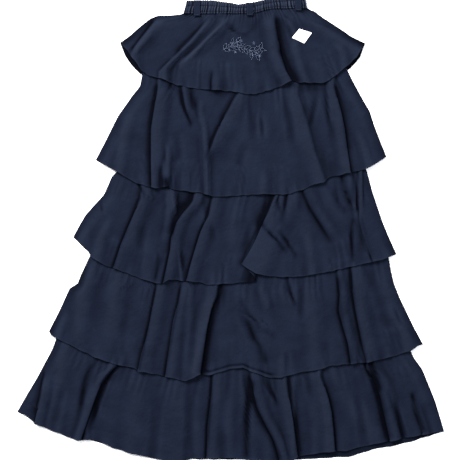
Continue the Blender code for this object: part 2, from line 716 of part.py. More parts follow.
def make_belt_loops(material, parent, collection):
    """Flat strips sewn over the waistband, three in front and three under the back."""
    ridge = BAND_MIDDLE + BAND_WALL + RIB_HEIGHT + CHANNEL_HEIGHT + SEAM
    for number, centre in enumerate(LOOP_CENTRES, start=1):
        top = float(along_x(BAND_UPPER, centre)) - LOOP_INSET
        bottom = float(along_x(BAND_LOWER, centre)) - LOOP_OVERHANG
        for side, base in (("front", ridge), ("back", 0.0)):
            low_y = bottom if side == "front" else bottom + BACK_LOOP_SHORTER
            bpy.ops.mesh.primitive_cube_add(size=1.0)
            loop = bpy.context.object
            loop.name = f"belt_loop_{side}_{number}"
            loop.dimensions = (LOOP_WIDTH * MM, (top - low_y) * MM, LOOP_THICKNESS * MM)
            loop.location = (centre * MM, (top + low_y) / 2 * MM, (base + LOOP_THICKNESS / 2) * MM)
            bpy.context.view_layer.update()
            bpy.ops.object.transform_apply(location=False, rotation=False, scale=True)
            loop.data.materials.append(material)
            loop.parent = parent
            for owner in list(loop.users_collection):
                owner.objects.unlink(loop)
            collection.objects.link(loop)


def make_patch(tier_object, material, parent, collection):
    """Small square sewn flat on tier 1: its points lie on the cloth's own surface, moved out."""
    bpy.context.view_layer.update()
    graph = bpy.context.evaluated_depsgraph_get()
    surface = BVHTree.FromObject(tier_object, graph)
    corners = [Vector((*corner, 0.0)) for corner in PATCH_CORNERS]
    rows = []
    for r in range(PATCH_STEPS + 1):
        row = []
        for c in range(PATCH_STEPS + 1):
            left = corners[1].lerp(corners[0], r / PATCH_STEPS)
            right = corners[2].lerp(corners[3], r / PATCH_STEPS)
            point = left.lerp(right, c / PATCH_STEPS)
            hit = surface.ray_cast(Vector((point.x * MM, point.y * MM, ABOVE)), Vector((0, 0, -1)))[0]
            row.append((point.x, point.y, hit.z / MM + PATCH_GAP + PATCH_THICKNESS / 2))
        rows.append(row)
    cloth_object("label_patch", rows, PATCH_THICKNESS, material, parent, collection)


def make_material(name, colour, roughness):
    material = bpy.data.materials.new(name)
    material.use_nodes = True
    surface = material.node_tree.nodes["Principled BSDF"]
    surface.inputs["Base Color"].default_value = colour
    surface.inputs["Roughness"].default_value = roughness
    surface.inputs["Metallic"].default_value = 0.0
    return material


def make_tiers(material, parent, collection):
    """Front and back of each tier. Returns the front of tier 1, which carries the patch."""
    fronts = []
    for index, tier in enumerate(TIERS):
        for side, downs, pitch in (("front", FRONT_ROWS, FRONT_PITCH), ("back", BACK_ROWS, BACK_PITCH)):
            panel = Panel(index, side == "front")
            counts = []
            row_of(panel, 0.6, pitch, counts)
            rows = [row_of(panel, down, pitch, counts) for down in downs]
            obj = cloth_object(f"{tier.name}_{side}", rows, CLOTH, material, parent, collection)
            if side == "front":
                fronts.append(obj)
    return fronts[0]


def main():
    for obj in list(bpy.data.objects):
        bpy.data.objects.remove(obj)
    collection = bpy.data.collections.new("tiered_skirt")
    bpy.context.scene.collection.children.link(collection)
    parent = bpy.data.objects.new("skirt_frame", None)
    collection.objects.link(parent)
    cloth = make_material("navy_knit", NAVY, 0.85)
    binding = make_material("navy_shirred", NAVY_DARK, 0.85)
    white = make_material("white_patch", WHITE, 0.7)
    first_tier = make_tiers(cloth, parent, collection)
    make_waistband(binding, parent, collection)
    make_belt_loops(binding, parent, collection)
    make_patch(first_tier, white, parent, collection)


main()
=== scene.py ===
"""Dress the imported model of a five-tier knit skirt that lies flat, front side up.

The row frame is the model's own: the waistband points along +Y, the front faces +Z and the origin is
the middle of the footprint on the table. Plan points and sizes are in millimetres, and every mesh is
made in metres.
"""

import logging
import math
from dataclasses import dataclass, field
from enum import Enum

import bpy
import numpy as np
from bpy.types import Material, Node, NodeSocket, NodeTree, Object
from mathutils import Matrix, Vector
from mathutils.bvhtree import BVHTree


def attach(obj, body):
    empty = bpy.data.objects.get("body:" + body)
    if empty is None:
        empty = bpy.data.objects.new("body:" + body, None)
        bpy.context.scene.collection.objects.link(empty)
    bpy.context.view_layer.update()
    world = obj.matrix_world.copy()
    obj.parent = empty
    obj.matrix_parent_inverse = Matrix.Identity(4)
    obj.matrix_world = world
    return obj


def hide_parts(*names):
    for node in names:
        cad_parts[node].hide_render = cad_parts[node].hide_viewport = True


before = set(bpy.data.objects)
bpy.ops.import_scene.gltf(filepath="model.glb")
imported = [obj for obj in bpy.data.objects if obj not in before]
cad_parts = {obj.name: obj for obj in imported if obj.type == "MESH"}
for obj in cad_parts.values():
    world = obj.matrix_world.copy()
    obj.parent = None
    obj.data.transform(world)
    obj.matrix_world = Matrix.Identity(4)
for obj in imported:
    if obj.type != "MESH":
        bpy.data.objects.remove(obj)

log = logging.getLogger("skirt")

MM = 0.001
BODY = "root"

# Cloth and its layers, in millimetres
CLOTH = 1.0  # thickness
CLEAR = 0.55  # least air between two sheets
COVER_AIR = 1.9  # air between a tier's front and the front that it covers
LAYER = 2.0  # from one layer of a pleat to the next
TURN = 1.5  # how far the cloth bulges where a pleat turns back
TUCK_UNDER = 50.0  # length of a tier under the tier above
BAND_JOIN = 1.2  # gap in plan between the waistband and the first tier
DEEPEST_TROUGH = -4.0

# Heights of a sheet's middle over the table, in millimetres
BACK_LEVEL = CLOTH / 2
BACK_TUCKED_LEVEL = BACK_LEVEL + CLOTH + CLEAR
TUCKED_LEVEL = BACK_TUCKED_LEVEL + CLOTH + CLEAR
BODY_LEVEL = 6.0
HEM_LEVEL = 8.5

# Lengths in plan over which heights change, in millimetres
FADE = 40.0  # a fold, from its end to its full rise
SETTLE = 44.0  # a pleat, from where it opens to where it lies shut
FOLD_OPENING = 84.0  # a tier's folds, from its gathered edge down
COVERED_SIDE = 24.0  # a pleat's open side, as the tier above lies on it
EDGE_ROUNDING = 22.0  # the front, from a side seam
HEM_RISE = 70.0  # the front, down to its hem
BODY_RISE = (-10.0, 60.0)  # the front, between two distances below the hem above
BACK_DROP = (8.0, 45.0)  # the back, in the same way
FLOOR_SIDE = (18.0, 12.0)  # how far past the side of a covered tier it lifts the cloth, and the blend
FLOOR_TOP = (16.0, 14.0)  # the same above its gathered edge

# Size of a face of the backs, pitch of the first tier's columns, and painted shade on the first tier's back,
# which lies in the front's shade
BACK_FACE = 9.0
FIRST_PITCH = 2.8
FIRST_BACK_PAINTED_SHADE = 0.9

# Node groups that the finishes share
WASH, EDGE, KNIT, CRUMPLE, PAINTED_SHADING = "wash", "edge", "knit", "crumple", "painted_shading"


class Lay(Enum):
    """How a fold lies: as a soft ridge or trough, or as a pleat named for the side on top."""

    SOFT = "soft"
    RIGHT = "right over left"
    LEFT = "left over right"


class Ends(Enum):
    """Whether a fold fades out within the cloth at its first point, and whether at its last one."""

    THROUGH = (False, False)
    BORN = (True, False)
    DIES = (False, True)
    BOTH = (True, True)


class Side(Enum):
    """The two halves of a tier."""

    FRONT = "front"
    BACK = "back"


@dataclass(frozen=True)
class Fold:
    """One fold of a tier, followed in plan from the gathered edge down.

    Attributes:
        path: plan points.
        lay: soft, or the side of the pleat that lies on top.
        rise: height of the raised cloth, below zero for a trough.
        spread: width over which the raised cloth comes down again.
        overlap: width by which a pleat's upper layer covers its lower one.
        ends: which of its ends fade out.
        lift: how far the upper layer's hem is drawn up at the pleat's edge.
    """

    path: tuple
    lay: Lay
    rise: float
    spread: float
    overlap: float = 0.0
    ends: Ends = Ends.THROUGH
    lift: float = 0.0


def soft_folds(*rows: tuple) -> tuple:
    """Makes soft ridges and troughs from rows of rise, spread, ends and then plan points."""
    return tuple(Fold(tuple(path), Lay.SOFT, rise, spread, ends=ends) for rise, spread, ends, *path in rows)


@dataclass(frozen=True)
class PaintedShade:
    """Painted shade along a line deep in a fold, or a painted highlight along a ridge where depth is below
    zero.

    Attributes:
        path: plan points.
        left: width over which it fades to its left, in millimetres.
        right: width over which it fades to its right.
        depth: share of its colour that the cloth loses to the painted shade on the line, below zero for a
            painted highlight.
    """

    path: tuple
    left: float
    right: float
    depth: float

    ENDS = 14.0

    def at(self, x: np.ndarray, y: np.ndarray) -> np.ndarray:
        """How much painted shade it puts on the cloth, below zero for painted highlight.

        Args:
            x: the points' x.
            y: the points' y.

        Returns:
            The share for each point.
        """
        across = x - along_path(self.path, y)
        width = np.where(across < 0.0, self.left, self.right)
        inside_top, inside_foot = self.path[0][1] - y, y - self.path[-1][1]
        ends = smooth(inside_top / self.ENDS + 1.0) * smooth(inside_foot / self.ENDS + 1.0)
        return self.depth * bell(across, width) * ends


def painted_shade_lines(*rows: tuple) -> tuple:
    """Makes painted shade lines from rows of left, right, depth and then plan points."""
    return tuple(PaintedShade(tuple(path), left, right, depth) for left, right, depth, *path in rows)


@dataclass(frozen=True)
class PaintedHemRoll:
    """Stretch of hem with a line of painted shade above it, painted highlight below zero, as if the hem
    turned up; the cloth is not turned.

    Attributes:
        start: where it begins, across.
        end: where it ends, across.
        rise: height of the line above the hem, in millimetres.
        depth: share of its colour that the cloth loses to the painted shade on the line, below zero for a
            painted highlight.
    """

    start: float
    end: float
    rise: float
    depth: float

    LINE = 2.2
    ENDS = 16.0

    def at(self, x: np.ndarray, distance: np.ndarray) -> np.ndarray:
        """How much painted shade it puts on the cloth, below zero for painted highlight."""
        line = self.depth * bell(distance - self.rise, self.LINE)
        return line * smooth((x - self.start) / self.ENDS) * smooth((self.end - x) / self.ENDS)


@dataclass(frozen=True)
class TierCut:
    """Outline and folds of one tier.

    Attributes:
        name: the tier's name, which its nodes start with.
        left: left edge, from the gathered edge down.
        right: right edge, from the gathered edge down.
        hem: hem of the front, from left to right.
        back_hem: hem of the back, from left to right.
        folds: pleats, ridges and troughs of the front that the solids have too.
        creases: smaller folds that only the cloth here has.
        painted_shades: lines of painted shade and painted highlight along the folds.
        rolls: stretches of the hem with lines of painted shade and painted highlight, as if turned up.
        hem_level: height of the front's hem over the table.
    """

    name: str
    left: tuple
    right: tuple
    hem: tuple
    back_hem: tuple
    folds: tuple
    creases: tuple = ()
    painted_shades: tuple = ()
    rolls: tuple = ()
    hem_level: float = HEM_LEVEL


TIER_1 = TierCut(
    name="tier_1",
    left=(
        (-92, 423), (-106, 422.5), (-124, 421), (-144, 421), (-160, 415), (-180, 399), (-200, 381),
        (-220, 367),
    ),
    right=((152, 433), (166, 430), (180, 419), (200, 406), (220, 393), (240, 379), (267, 366)),
    hem=(
        (-220, 367), (-206, 352), (-198, 341), (-186, 325), (-175, 309), (-160, 300), (-138, 295),
        (-110, 283), (-68, 275), (-26, 272), (6, 269), (34, 264), (52, 265), (80, 273), (100, 280),
        (122, 291), (134, 287), (184, 286), (196, 292), (210, 303), (230, 319), (250, 338), (267, 366),
    ),
    back_hem=(
        (-220, 367), (-216, 351), (-204, 331), (-190, 315), (-178, 304), (-150, 290), (-60, 264), (20, 258),
        (120, 272), (190, 284), (230, 311), (240, 319), (254, 333), (262, 347), (267, 366),
    ),
    folds=(
        Fold(((-144, 415), (-168, 381), (-197, 347)), Lay.RIGHT, 5.0, 26),
        Fold(((-46, 411), (-79, 371), (-142, 309)), Lay.RIGHT, 4.0, 18, 5, ends=Ends.BORN),
        Fold(((-3, 421), (-52, 371), (-108, 319)), Lay.RIGHT, 4.6, 26, 7, ends=Ends.DIES),
        Fold(((-36, 311), (-38, 271)), Lay.RIGHT, 5.0, 20, 5, ends=Ends.BORN),
        Fold(((112, 428), (122, 385), (130, 345), (140, 311), (150, 288)), Lay.SOFT, 3.5, 15),
        Fold(((86, 425), (93, 385), (99, 345), (109, 311), (124, 285)), Lay.LEFT, 9.0, 30, 6),
        Fold(((-10, 405), (20, 385), (30, 375)), Lay.SOFT, -2.0, 16, ends=Ends.BOTH),
        Fold(((140, 427), (160, 411), (194, 398), (226, 381)), Lay.SOFT, -2.0, 16, ends=Ends.DIES),
        Fold(((170, 345), (186, 286)), Lay.SOFT, 3.0, 30, ends=Ends.BORN),
    ),
    creases=soft_folds(
        (-1.4, 9, Ends.BOTH, (-6, 399), (12, 386), (20, 383)),
        (1.6, 9, Ends.THROUGH, (44, 399), (52, 408), (58, 419)),
        (-2.2, 8, Ends.BOTH, (110, 419), (118, 411)),
        (-1.6, 9, Ends.BOTH, (112, 405), (120, 385), (124, 360)),
        (-1.2, 14, Ends.BORN, (54, 335), (62, 300)),
        (1.4, 12, Ends.BORN, (-104, 340), (-128, 312)),
        (1.2, 14, Ends.BORN, (206, 372), (222, 345), (226, 322)),
        (-1.2, 16, Ends.BORN, (-16, 340), (-12, 275)),
        (1.0, 7, Ends.THROUGH, (-42, 410), (-75, 370), (-130, 318)),
        (1.0, 8, Ends.DIES, (-1, 418), (-49, 370), (-95, 318)),
        (1.0, 8, Ends.THROUGH, (-146, 412), (-166, 384), (-188, 352)),
    ),
    painted_shades=painted_shade_lines(
        (5, 14, 0.75, (88, 410), (93, 375), (98, 347), (110, 319), (124, 294)),
        (5, 3, 0.6, (-156, 407), (-167, 391), (-179, 377), (-194, 357)),
        (6, 4, 0.6, (-56, 407), (-64, 395), (-84, 375), (-104, 355)),
        (6, 4, 0.3, (-29, 407), (-50, 385), (-72, 365), (-89, 345), (-110, 327)),
        (9, 9, 0.35, (-4, 400), (8, 389), (22, 384)),
        (8, 8, 0.35, (60, 418), (50, 405), (42, 391), (30, 384)),
        (4, 4, 0.8, (-38, 303), (-39, 290), (-38, 272)),
        (4, 7, -0.25, (-146, 405), (-158, 391), (-169, 377), (-186, 353)),
        (5, 8, -0.6, (-18, 411), (-40, 385), (-60, 365), (-77, 345), (-98, 325)),
        (4, 7, -0.25, (-50, 401), (-74, 375), (-94, 355)),
        (5, 8, 0.5, (98, 347), (107, 324), (119, 302), (128, 286)),
    ),
)

TIER_2 = TierCut(
    name="tier_2",
    left=(
        (-158, 349), (-169, 325), (-176, 303), (-180, 281), (-196, 261), (-224, 221), (-252, 165),
        (-268, 134),
    ),
    right=((214, 357), (222, 333), (240, 295), (264, 251), (276, 231), (284, 205), (294, 179), (309, 141)),
    hem=(
        (-268, 134), (-226, 111), (-190, 89), (-150, 77), (-124, 81), (-116, 75), (-62, 69), (-50, 66),
        (-36, 61), (-20, 61), (64, 66), (110, 65), (144, 75), (164, 85), (184, 89), (194, 99), (266, 115),
        (290, 127), (309, 141),
    ),
    back_hem=(
        (-268, 134), (-190, 92), (-150, 80), (-46, 64), (64, 69), (144, 79), (194, 101), (266, 118),
        (309, 141),
    ),
    folds=(
        Fold(((-144, 287), (-150, 245), (-158, 195), (-158, 135), (-157, 80)), Lay.RIGHT, 7.0, 26, 8),
        Fold(((-126, 155), (-134, 125), (-134, 80)), Lay.RIGHT, 3.4, 12, 5, ends=Ends.BORN),
        Fold(((-100, 271), (-92, 245), (-80, 221), (-64, 190)), Lay.SOFT, -2.6, 14, ends=Ends.DIES),
        Fold(((-96, 275), (-92, 242), (-80, 205)), Lay.RIGHT, 5.4, 18, 5, ends=Ends.DIES),
        Fold(((-54, 205), (-50, 155), (-48, 62)), Lay.SOFT, 5.0, 16, ends=Ends.BORN),
        Fold(
            ((14, 264), (2, 245), (-17, 211), (-34, 175), (-49, 130)),
            Lay.RIGHT, 5.4, 34, 6, ends=Ends.DIES,
        ),
        Fold(((30, 175), (16, 125), (22, 62)), Lay.SOFT, -3.0, 15, ends=Ends.BORN),
        Fold(((64, 235), (66, 195), (62, 150)), Lay.SOFT, 3.0, 22, ends=Ends.BOTH),
        Fold(((100, 130), (104, 64)), Lay.SOFT, 3.0, 24, ends=Ends.BORN),
        Fold(((134, 261), (150, 215), (158, 185), (166, 155), (176, 125), (187, 92)), Lay.LEFT, 3.8, 34, 8),
        Fold(((190, 271), (192, 235), (200, 195), (204, 165)), Lay.SOFT, -2.6, 12, ends=Ends.DIES),
        Fold(((206, 279), (210, 262), (220, 225), (226, 195), (231, 155), (238, 108)), Lay.LEFT, 6.5, 26, 5),
    ),
    creases=soft_folds(
        (1.6, 8, Ends.BORN, (-128, 110), (-126, 80)),
        (1.6, 18, Ends.BORN, (-200, 230), (-214, 160), (-222, 112)),
        (-1.4, 14, Ends.BORN, (-110, 200), (-104, 150), (-108, 80)),
        (-1.2, 14, Ends.DIES, (40, 250), (44, 200), (40, 160)),
        (-1.4, 14, Ends.DIES, (110, 245), (118, 200), (124, 150)),
        (1.4, 14, Ends.BORN, (250, 200), (266, 150), (276, 122)),
        (1.2, 14, Ends.BORN, (66, 120), (64, 70)),
        (2.0, 8, Ends.THROUGH, (-70, 269), (-60, 230), (-52, 195), (-48, 150), (-46, 69)),
        (-3.0, 8, Ends.DIES, (-92, 275), (-88, 250), (-80, 228)),
        (-3.0, 7, Ends.DIES, (-76, 275), (-73, 255), (-70, 238)),
        (2.2, 8, Ends.BORN, (-126, 175), (-123, 130), (-127, 82)),
        (-2.0, 9, Ends.BORN, (-140, 130), (-142, 84)),
        (-1.6, 8, Ends.BORN, (-76, 130), (-74, 73)),
        (-1.6, 8, Ends.BOTH, (58, 232), (62, 200), (64, 165)),
        (-1.8, 9, Ends.DIES, (168, 252), (162, 225), (158, 195)),
        (1.6, 7, Ends.DIES, (194, 275), (198, 235), (202, 190)),
    ),
    painted_shades=painted_shade_lines(
        (7, 3, 0.75, (-146, 275), (-150, 255), (-158, 215), (-161, 173), (-162, 131), (-160, 95)),
        (15, 15, 0.7, (-124, 296), (-122, 282)),
        (22, 22, 0.6, (-18, 284), (-16, 268)),
        (26, 26, 0.6, (156, 292), (160, 278)),
        (6, 5, 1.4, (-127, 92), (-125, 80)),
        (5, 4, 0.8, (-99, 270), (-96, 251), (-92, 237), (-86, 223), (-80, 208)),
        (5, 5, 1.0, (-84, 282), (-82, 265), (-78, 251), (-75, 243)),
        (3, 3, 0.35, (-70, 270), (-69, 245), (-67, 225)),
        (3.5, 3.5, 0.6, (8, 262), (-3, 243), (-18, 217), (-30, 191), (-41, 163), (-48, 141)),
        (8, 14, 0.25, (148, 235), (160, 201), (170, 169), (182, 135), (198, 105)),
        (5, 9, 0.5, (210, 275), (216, 253), (224, 219), (228, 185), (231, 160)),
    ),
)

TIER_3 = TierCut(
    name="tier_3",
    left=(
        (-204, 150), (-215, 130), (-226, 111), (-236, 101), (-252, 65), (-274, 41), (-288, 25), (-300, 5),
        (-313, -20),
    ),
    right=((256, 160), (262, 137), (274, 99), (280, 75), (290, 45), (300, 15), (312, -15), (329, -52)),
    hem=(
        (-313, -20), (-284, -43), (-279, -57), (-250, -75), (-220, -85), (-180, -101), (-146, -111),
        (-134, -111), (-122, -103), (-60, -109), (-46, -114), (62, -107), (140, -99), (200, -87), (260, -73),
        (308, -62), (329, -52),
    ),
    back_hem=(
        (-313, -20), (-279, -52), (-220, -82), (-146, -107), (-46, -110), (62, -104), (140, -96), (260, -70),
        (329, -52),
    ),
    folds=(
        Fold(
            ((-178, 85), (-178, 59), (-188, 35), (-204, -1), (-218, -35), (-233, -82)),
            Lay.RIGHT, 6.0, 26, 6,
        ),
        Fold(((-142, -56), (-148, -80), (-150, -110)), Lay.SOFT, -2.8, 9, ends=Ends.BORN),
        Fold(((-122, 80), (-119, 40), (-124, 0), (-134, -40)), Lay.SOFT, 6.0, 14, ends=Ends.DIES),
        Fold(
            ((-70, 72), (-75, 52), (-93, 31), (-107, 11), (-118, -21), (-120, -45), (-134, -111)),
            Lay.RIGHT, 7.0, 20, 6,
        ),
        Fold(((-36, 62), (-44, 25), (-60, -9), (-70, -41), (-80, -75), (-88, -106)), Lay.RIGHT, 5.6, 24, 6),
        Fold(((-16, -70), (-20, -112)), Lay.SOFT, -2.4, 10, ends=Ends.BORN),
        Fold(((14, 60), (4, 0), (0, -60)), Lay.SOFT, 3.0, 24, ends=Ends.DIES),
        Fold(
            ((92, 75), (84, 55), (75, 32), (61, -3), (49, -37), (34, -76), (21, -110)),
            Lay.RIGHT, 6.5, 34, 30, lift=37,
        ),
        Fold(((100, -9), (112, -31), (122, -55)), Lay.SOFT, -2.6, 14, ends=Ends.BOTH),
        Fold(((112, 70), (104, 19), (100, 0)), Lay.SOFT, -2.6, 14, ends=Ends.DIES),
        Fold(((142, 80), (154, 45), (173, 15), (189, -9), (203, -32)), Lay.RIGHT, 5.6, 24, 6, ends=Ends.DIES),
        Fold(((206, 95), (210, 45), (226, 24), (236, 12)), Lay.SOFT, -2.4, 14, ends=Ends.DIES),
        Fold(((240, 26), (241, -35), (243, -70)), Lay.RIGHT, 5.4, 14, 5, ends=Ends.BOTH),
        Fold(
            ((220, 110), (226, 75), (237, 55), (251, 25), (259, -5), (268, -35), (282, -68)),
            Lay.RIGHT, 4.2, 26, 6,
        ),
    ),
    creases=soft_folds(
        (-3.0, 6, Ends.DIES, (-186, 92), (-178, 80), (-168, 62)),
        (-1.8, 9, Ends.DIES, (92, 55), (98, 25)),
        (-1.8, 9, Ends.BORN, (196, -61), (208, -81)),
        (-2.0, 6, Ends.DIES, (-260, 53), (-254, 27)),
        (-3.4, 13, Ends.DIES, (-97, 76), (-98, 49), (-104, 31), (-111, 10)),
        (1.5, 6, Ends.DIES, (-116, 76), (-111, 40), (-108, 12), (-112, -12)),
        (-1.8, 7, Ends.BOTH, (-100, -38), (-92, -95)),
        (1.2, 5, Ends.BORN, (-104, -28), (-98, -104)),
        (-1.6, 6, Ends.BORN, (-141, -50), (-146, -80), (-149, -108)),
        (-1.6, 6, Ends.BORN, (-15, -66), (-20, -110)),
        (-1.7, 7, Ends.BOTH, (70, -1), (84, -20), (102, -39)),
        (-1.4, 5, Ends.BOTH, (104, -15), (124, -54)),
        (-1.4, 6, Ends.DIES, (112, 72), (104, 25)),
        (1.4, 9, Ends.THROUGH, (236, 70), (250, 23), (270, -45)),
        (-1.2, 5, Ends.BORN, (236, -2), (240, -72)),
        (1.6, 18, Ends.BORN, (-240, 30), (-256, -20), (-266, -62)),
        (-1.4, 14, Ends.BORN, (-170, 20), (-180, -40), (-190, -98)),
        (-1.4, 12, Ends.BOTH, (40, 20), (30, -30), (14, -70)),
        (1.5, 16, Ends.BORN, (150, 0), (156, -50), (160, -96)),
        (-1.2, 12, Ends.DIES, (-50, 40), (-40, 0), (-30, -40)),
    ),
    painted_shades=painted_shade_lines(
        (6, 3, 0.6, (-178, 72), (-194, 27), (-206, -7), (-220, -41), (-230, -76)),
        (15, 2.5, 1.1, (-75, 68), (-78, 53), (-86, 41), (-98, 27), (-108, 11), (-114, -5)),
        (9, 9, 0.35, (-106, 66), (-104, 45), (-106, 25)),
        (3, 3, -0.6, (-116, 69), (-113, 45), (-110, 15)),
        (5, 3, 0.7, (-110, 7), (-120, -29), (-124, -55), (-133, -105)),
        (3.5, 3, 0.6, (-38, 62), (-46, 25), (-62, -9), (-72, -41), (-82, -75), (-89, -102)),
        (3.5, 3.5, 0.6, (-188, 96), (-180, 80), (-172, 66)),
        (6, 6, 0.7, (64, 3), (84, -18), (104, -42)),
        (5, 5, 0.6, (98, -12), (112, -32), (128, -54)),
        (6, 6, 0.45, (112, 74), (107, 45), (100, 15)),
        (5, 4, 0.7, (-142, -62), (-148, -97)),
        (8, 5, 0.4, (-92, -60), (-86, -95)),
        (16, 3, 1.1, (90, 72), (78, 47), (62, 11)),
        (6, 3, 0.8, (62, 15), (42, -27), (22, -68)),
        (8, 8, 0.5, (143, 75), (159, 41), (171, 19), (185, -5), (196, -25)),
        (4, 4, 0.8, (242, 10), (242, -60)),
        (3, 8, 0.8, (220, 100), (227, 78), (236, 56)),
        (8, 8, 0.5, (254, 13), (266, -23), (278, -53)),
        (5, 5, 0.4, (196, 78), (206, 60), (226, 36)),
    ),
)

TIER_4 = TierCut(
    name="tier_4",
    left=(
        (-260, -14), (-272, -38), (-280, -57), (-298, -95), (-304, -111), (-320, -121), (-340, -165),
        (-361, -206),
    ),
    right=(
        (300, -14), (307, -38), (314, -61), (318, -85), (324, -111), (336, -141), (364, -199), (382, -232),
    ),
    hem=(
        (-361, -206), (-357, -214), (-310, -237), (-270, -257), (-230, -271), (-190, -279), (-182, -285),
        (-130, -295), (-90, -305), (-60, -291), (-40, -293), (-4, -281), (24, -278), (44, -287), (80, -299),
        (100, -297), (140, -287), (180, -281), (192, -275), (270, -267), (310, -259), (356, -245),
        (370, -236), (382, -232),
    ),
    back_hem=(
        (-361, -206), (-310, -232), (-230, -267), (-130, -290), (-60, -286), (24, -274), (100, -290),
        (192, -271), (310, -255), (382, -232),
    ),
    folds=(
        Fold(((-286, -110), (-300, -180), (-312, -236)), Lay.SOFT, 3.5, 26),
        Fold(((-222, -100), (-240, -180), (-252, -262)), Lay.SOFT, 4.0, 34),
        Fold(
            ((-146, -109), (-153, -145), (-160, -185), (-168, -221), (-177, -249), (-184, -282)),
            Lay.RIGHT, 6.4, 26, 6,
        ),
        Fold(((-98, -107), (-104, -145), (-114, -185), (-120, -225), (-130, -296)), Lay.RIGHT, 5.4, 24, 6),
        Fold(
            ((-24, -115), (-25, -134), (-38, -161), (-46, -195), (-52, -235), (-60, -291)),
            Lay.LEFT, 8.0, 24, 8,
        ),
        Fold(((16, -150), (36, -205), (50, -235), (74, -297)), Lay.SOFT, -3.4, 16, ends=Ends.BORN),
        Fold(((104, -99), (114, -125), (126, -160)), Lay.SOFT, -2.8, 14, ends=Ends.DIES),
        Fold(((110, -215), (110, -296)), Lay.SOFT, 3.5, 24, ends=Ends.BORN),
        Fold(((160, -120), (164, -200), (160, -285)), Lay.SOFT, 3.6, 28),
        Fold(((192, -220), (185, -280)), Lay.SOFT, -2.4, 12, ends=Ends.BORN),
        Fold(
            ((212, -95), (216, -135), (214, -165), (222, -195), (232, -229), (238, -270)),
            Lay.RIGHT, 6.0, 16, 6,
        ),
        Fold(
            ((239, -85), (241, -125), (247, -165), (255, -205), (263, -245), (269, -267)),
            Lay.RIGHT, 6.4, 30, 6,
        ),
        Fold(((270, -75), (288, -125), (302, -165), (318, -210), (330, -252)), Lay.SOFT, -2.8, 18),
        Fold(((330, -150), (352, -246)), Lay.SOFT, 2.5, 16, ends=Ends.BORN),
    ),
    creases=soft_folds(
        (-1.8, 8, Ends.BOTH, (20, -165), (44, -180), (64, -195)),
        (1.6, 8, Ends.BOTH, (50, -195), (72, -205), (90, -215)),
        (-1.6, 9, Ends.BORN, (110, -245), (110, -275)),
        (-0.5, 14, Ends.BORN, (-200, -130), (-212, -200), (-222, -268)),
        (1.4, 14, Ends.THROUGH, (-80, -130), (-84, -200), (-90, -300)),
        (1.4, 14, Ends.DIES, (60, -120), (70, -150), (74, -180)),
        (-1.4, 12, Ends.DIES, (140, -130), (138, -190)),
        (1.3, 14, Ends.BORN, (-330, -160), (-344, -222)),
        (-1.6, 6, Ends.DIES, (110, -96), (116, -125), (128, -158)),
        (-1.6, 7, Ends.BOTH, (36, -190), (44, -225), (66, -265)),
        (-1.3, 6, Ends.BOTH, (50, -178), (72, -192), (96, -196)),
        (-1.4, 8, Ends.BOTH, (320, -150), (338, -190), (352, -212)),
        (1.6, 9, Ends.BORN, (-36, -160), (-48, -205), (-60, -270)),
    ),
    painted_shades=painted_shade_lines(
        (6, 9, 0.9, (-20, -105), (-26, -141), (-38, -177), (-46, -211), (-51, -247), (-57, -282)),
        (9, 6, -0.3, (-34, -150), (-52, -205), (-66, -250), (-76, -282)),
        (3, 3, 0.75, (-146, -104), (-152, -135), (-158, -169), (-165, -205), (-172, -239), (-181, -275)),
        (3, 3, 0.75, (-97, -108), (-102, -135), (-109, -173), (-116, -211), (-123, -249), (-129, -288)),
        (5, 6, 0.7, (214, -105), (215, -157), (220, -191), (228, -227), (238, -262)),
        (3.5, 4, 0.85, (238, -92), (240, -113), (244, -149), (250, -185), (258, -221), (267, -258)),
        (4, 4, 0.5, (111, -99), (118, -125), (127, -150)),
        (6, 6, 0.45, (22, -150), (54, -196), (84, -212)),
        (8, 8, 0.6, (36, -190), (50, -222), (68, -262)),
    ),
    # Painted shade line 7.5 mm above the hem and a painted highlight line 3.5 mm above it
    rolls=(PaintedHemRoll(-66, 92, 7.5, 0.8), PaintedHemRoll(-66, 92, 3.5, -0.3)),
)

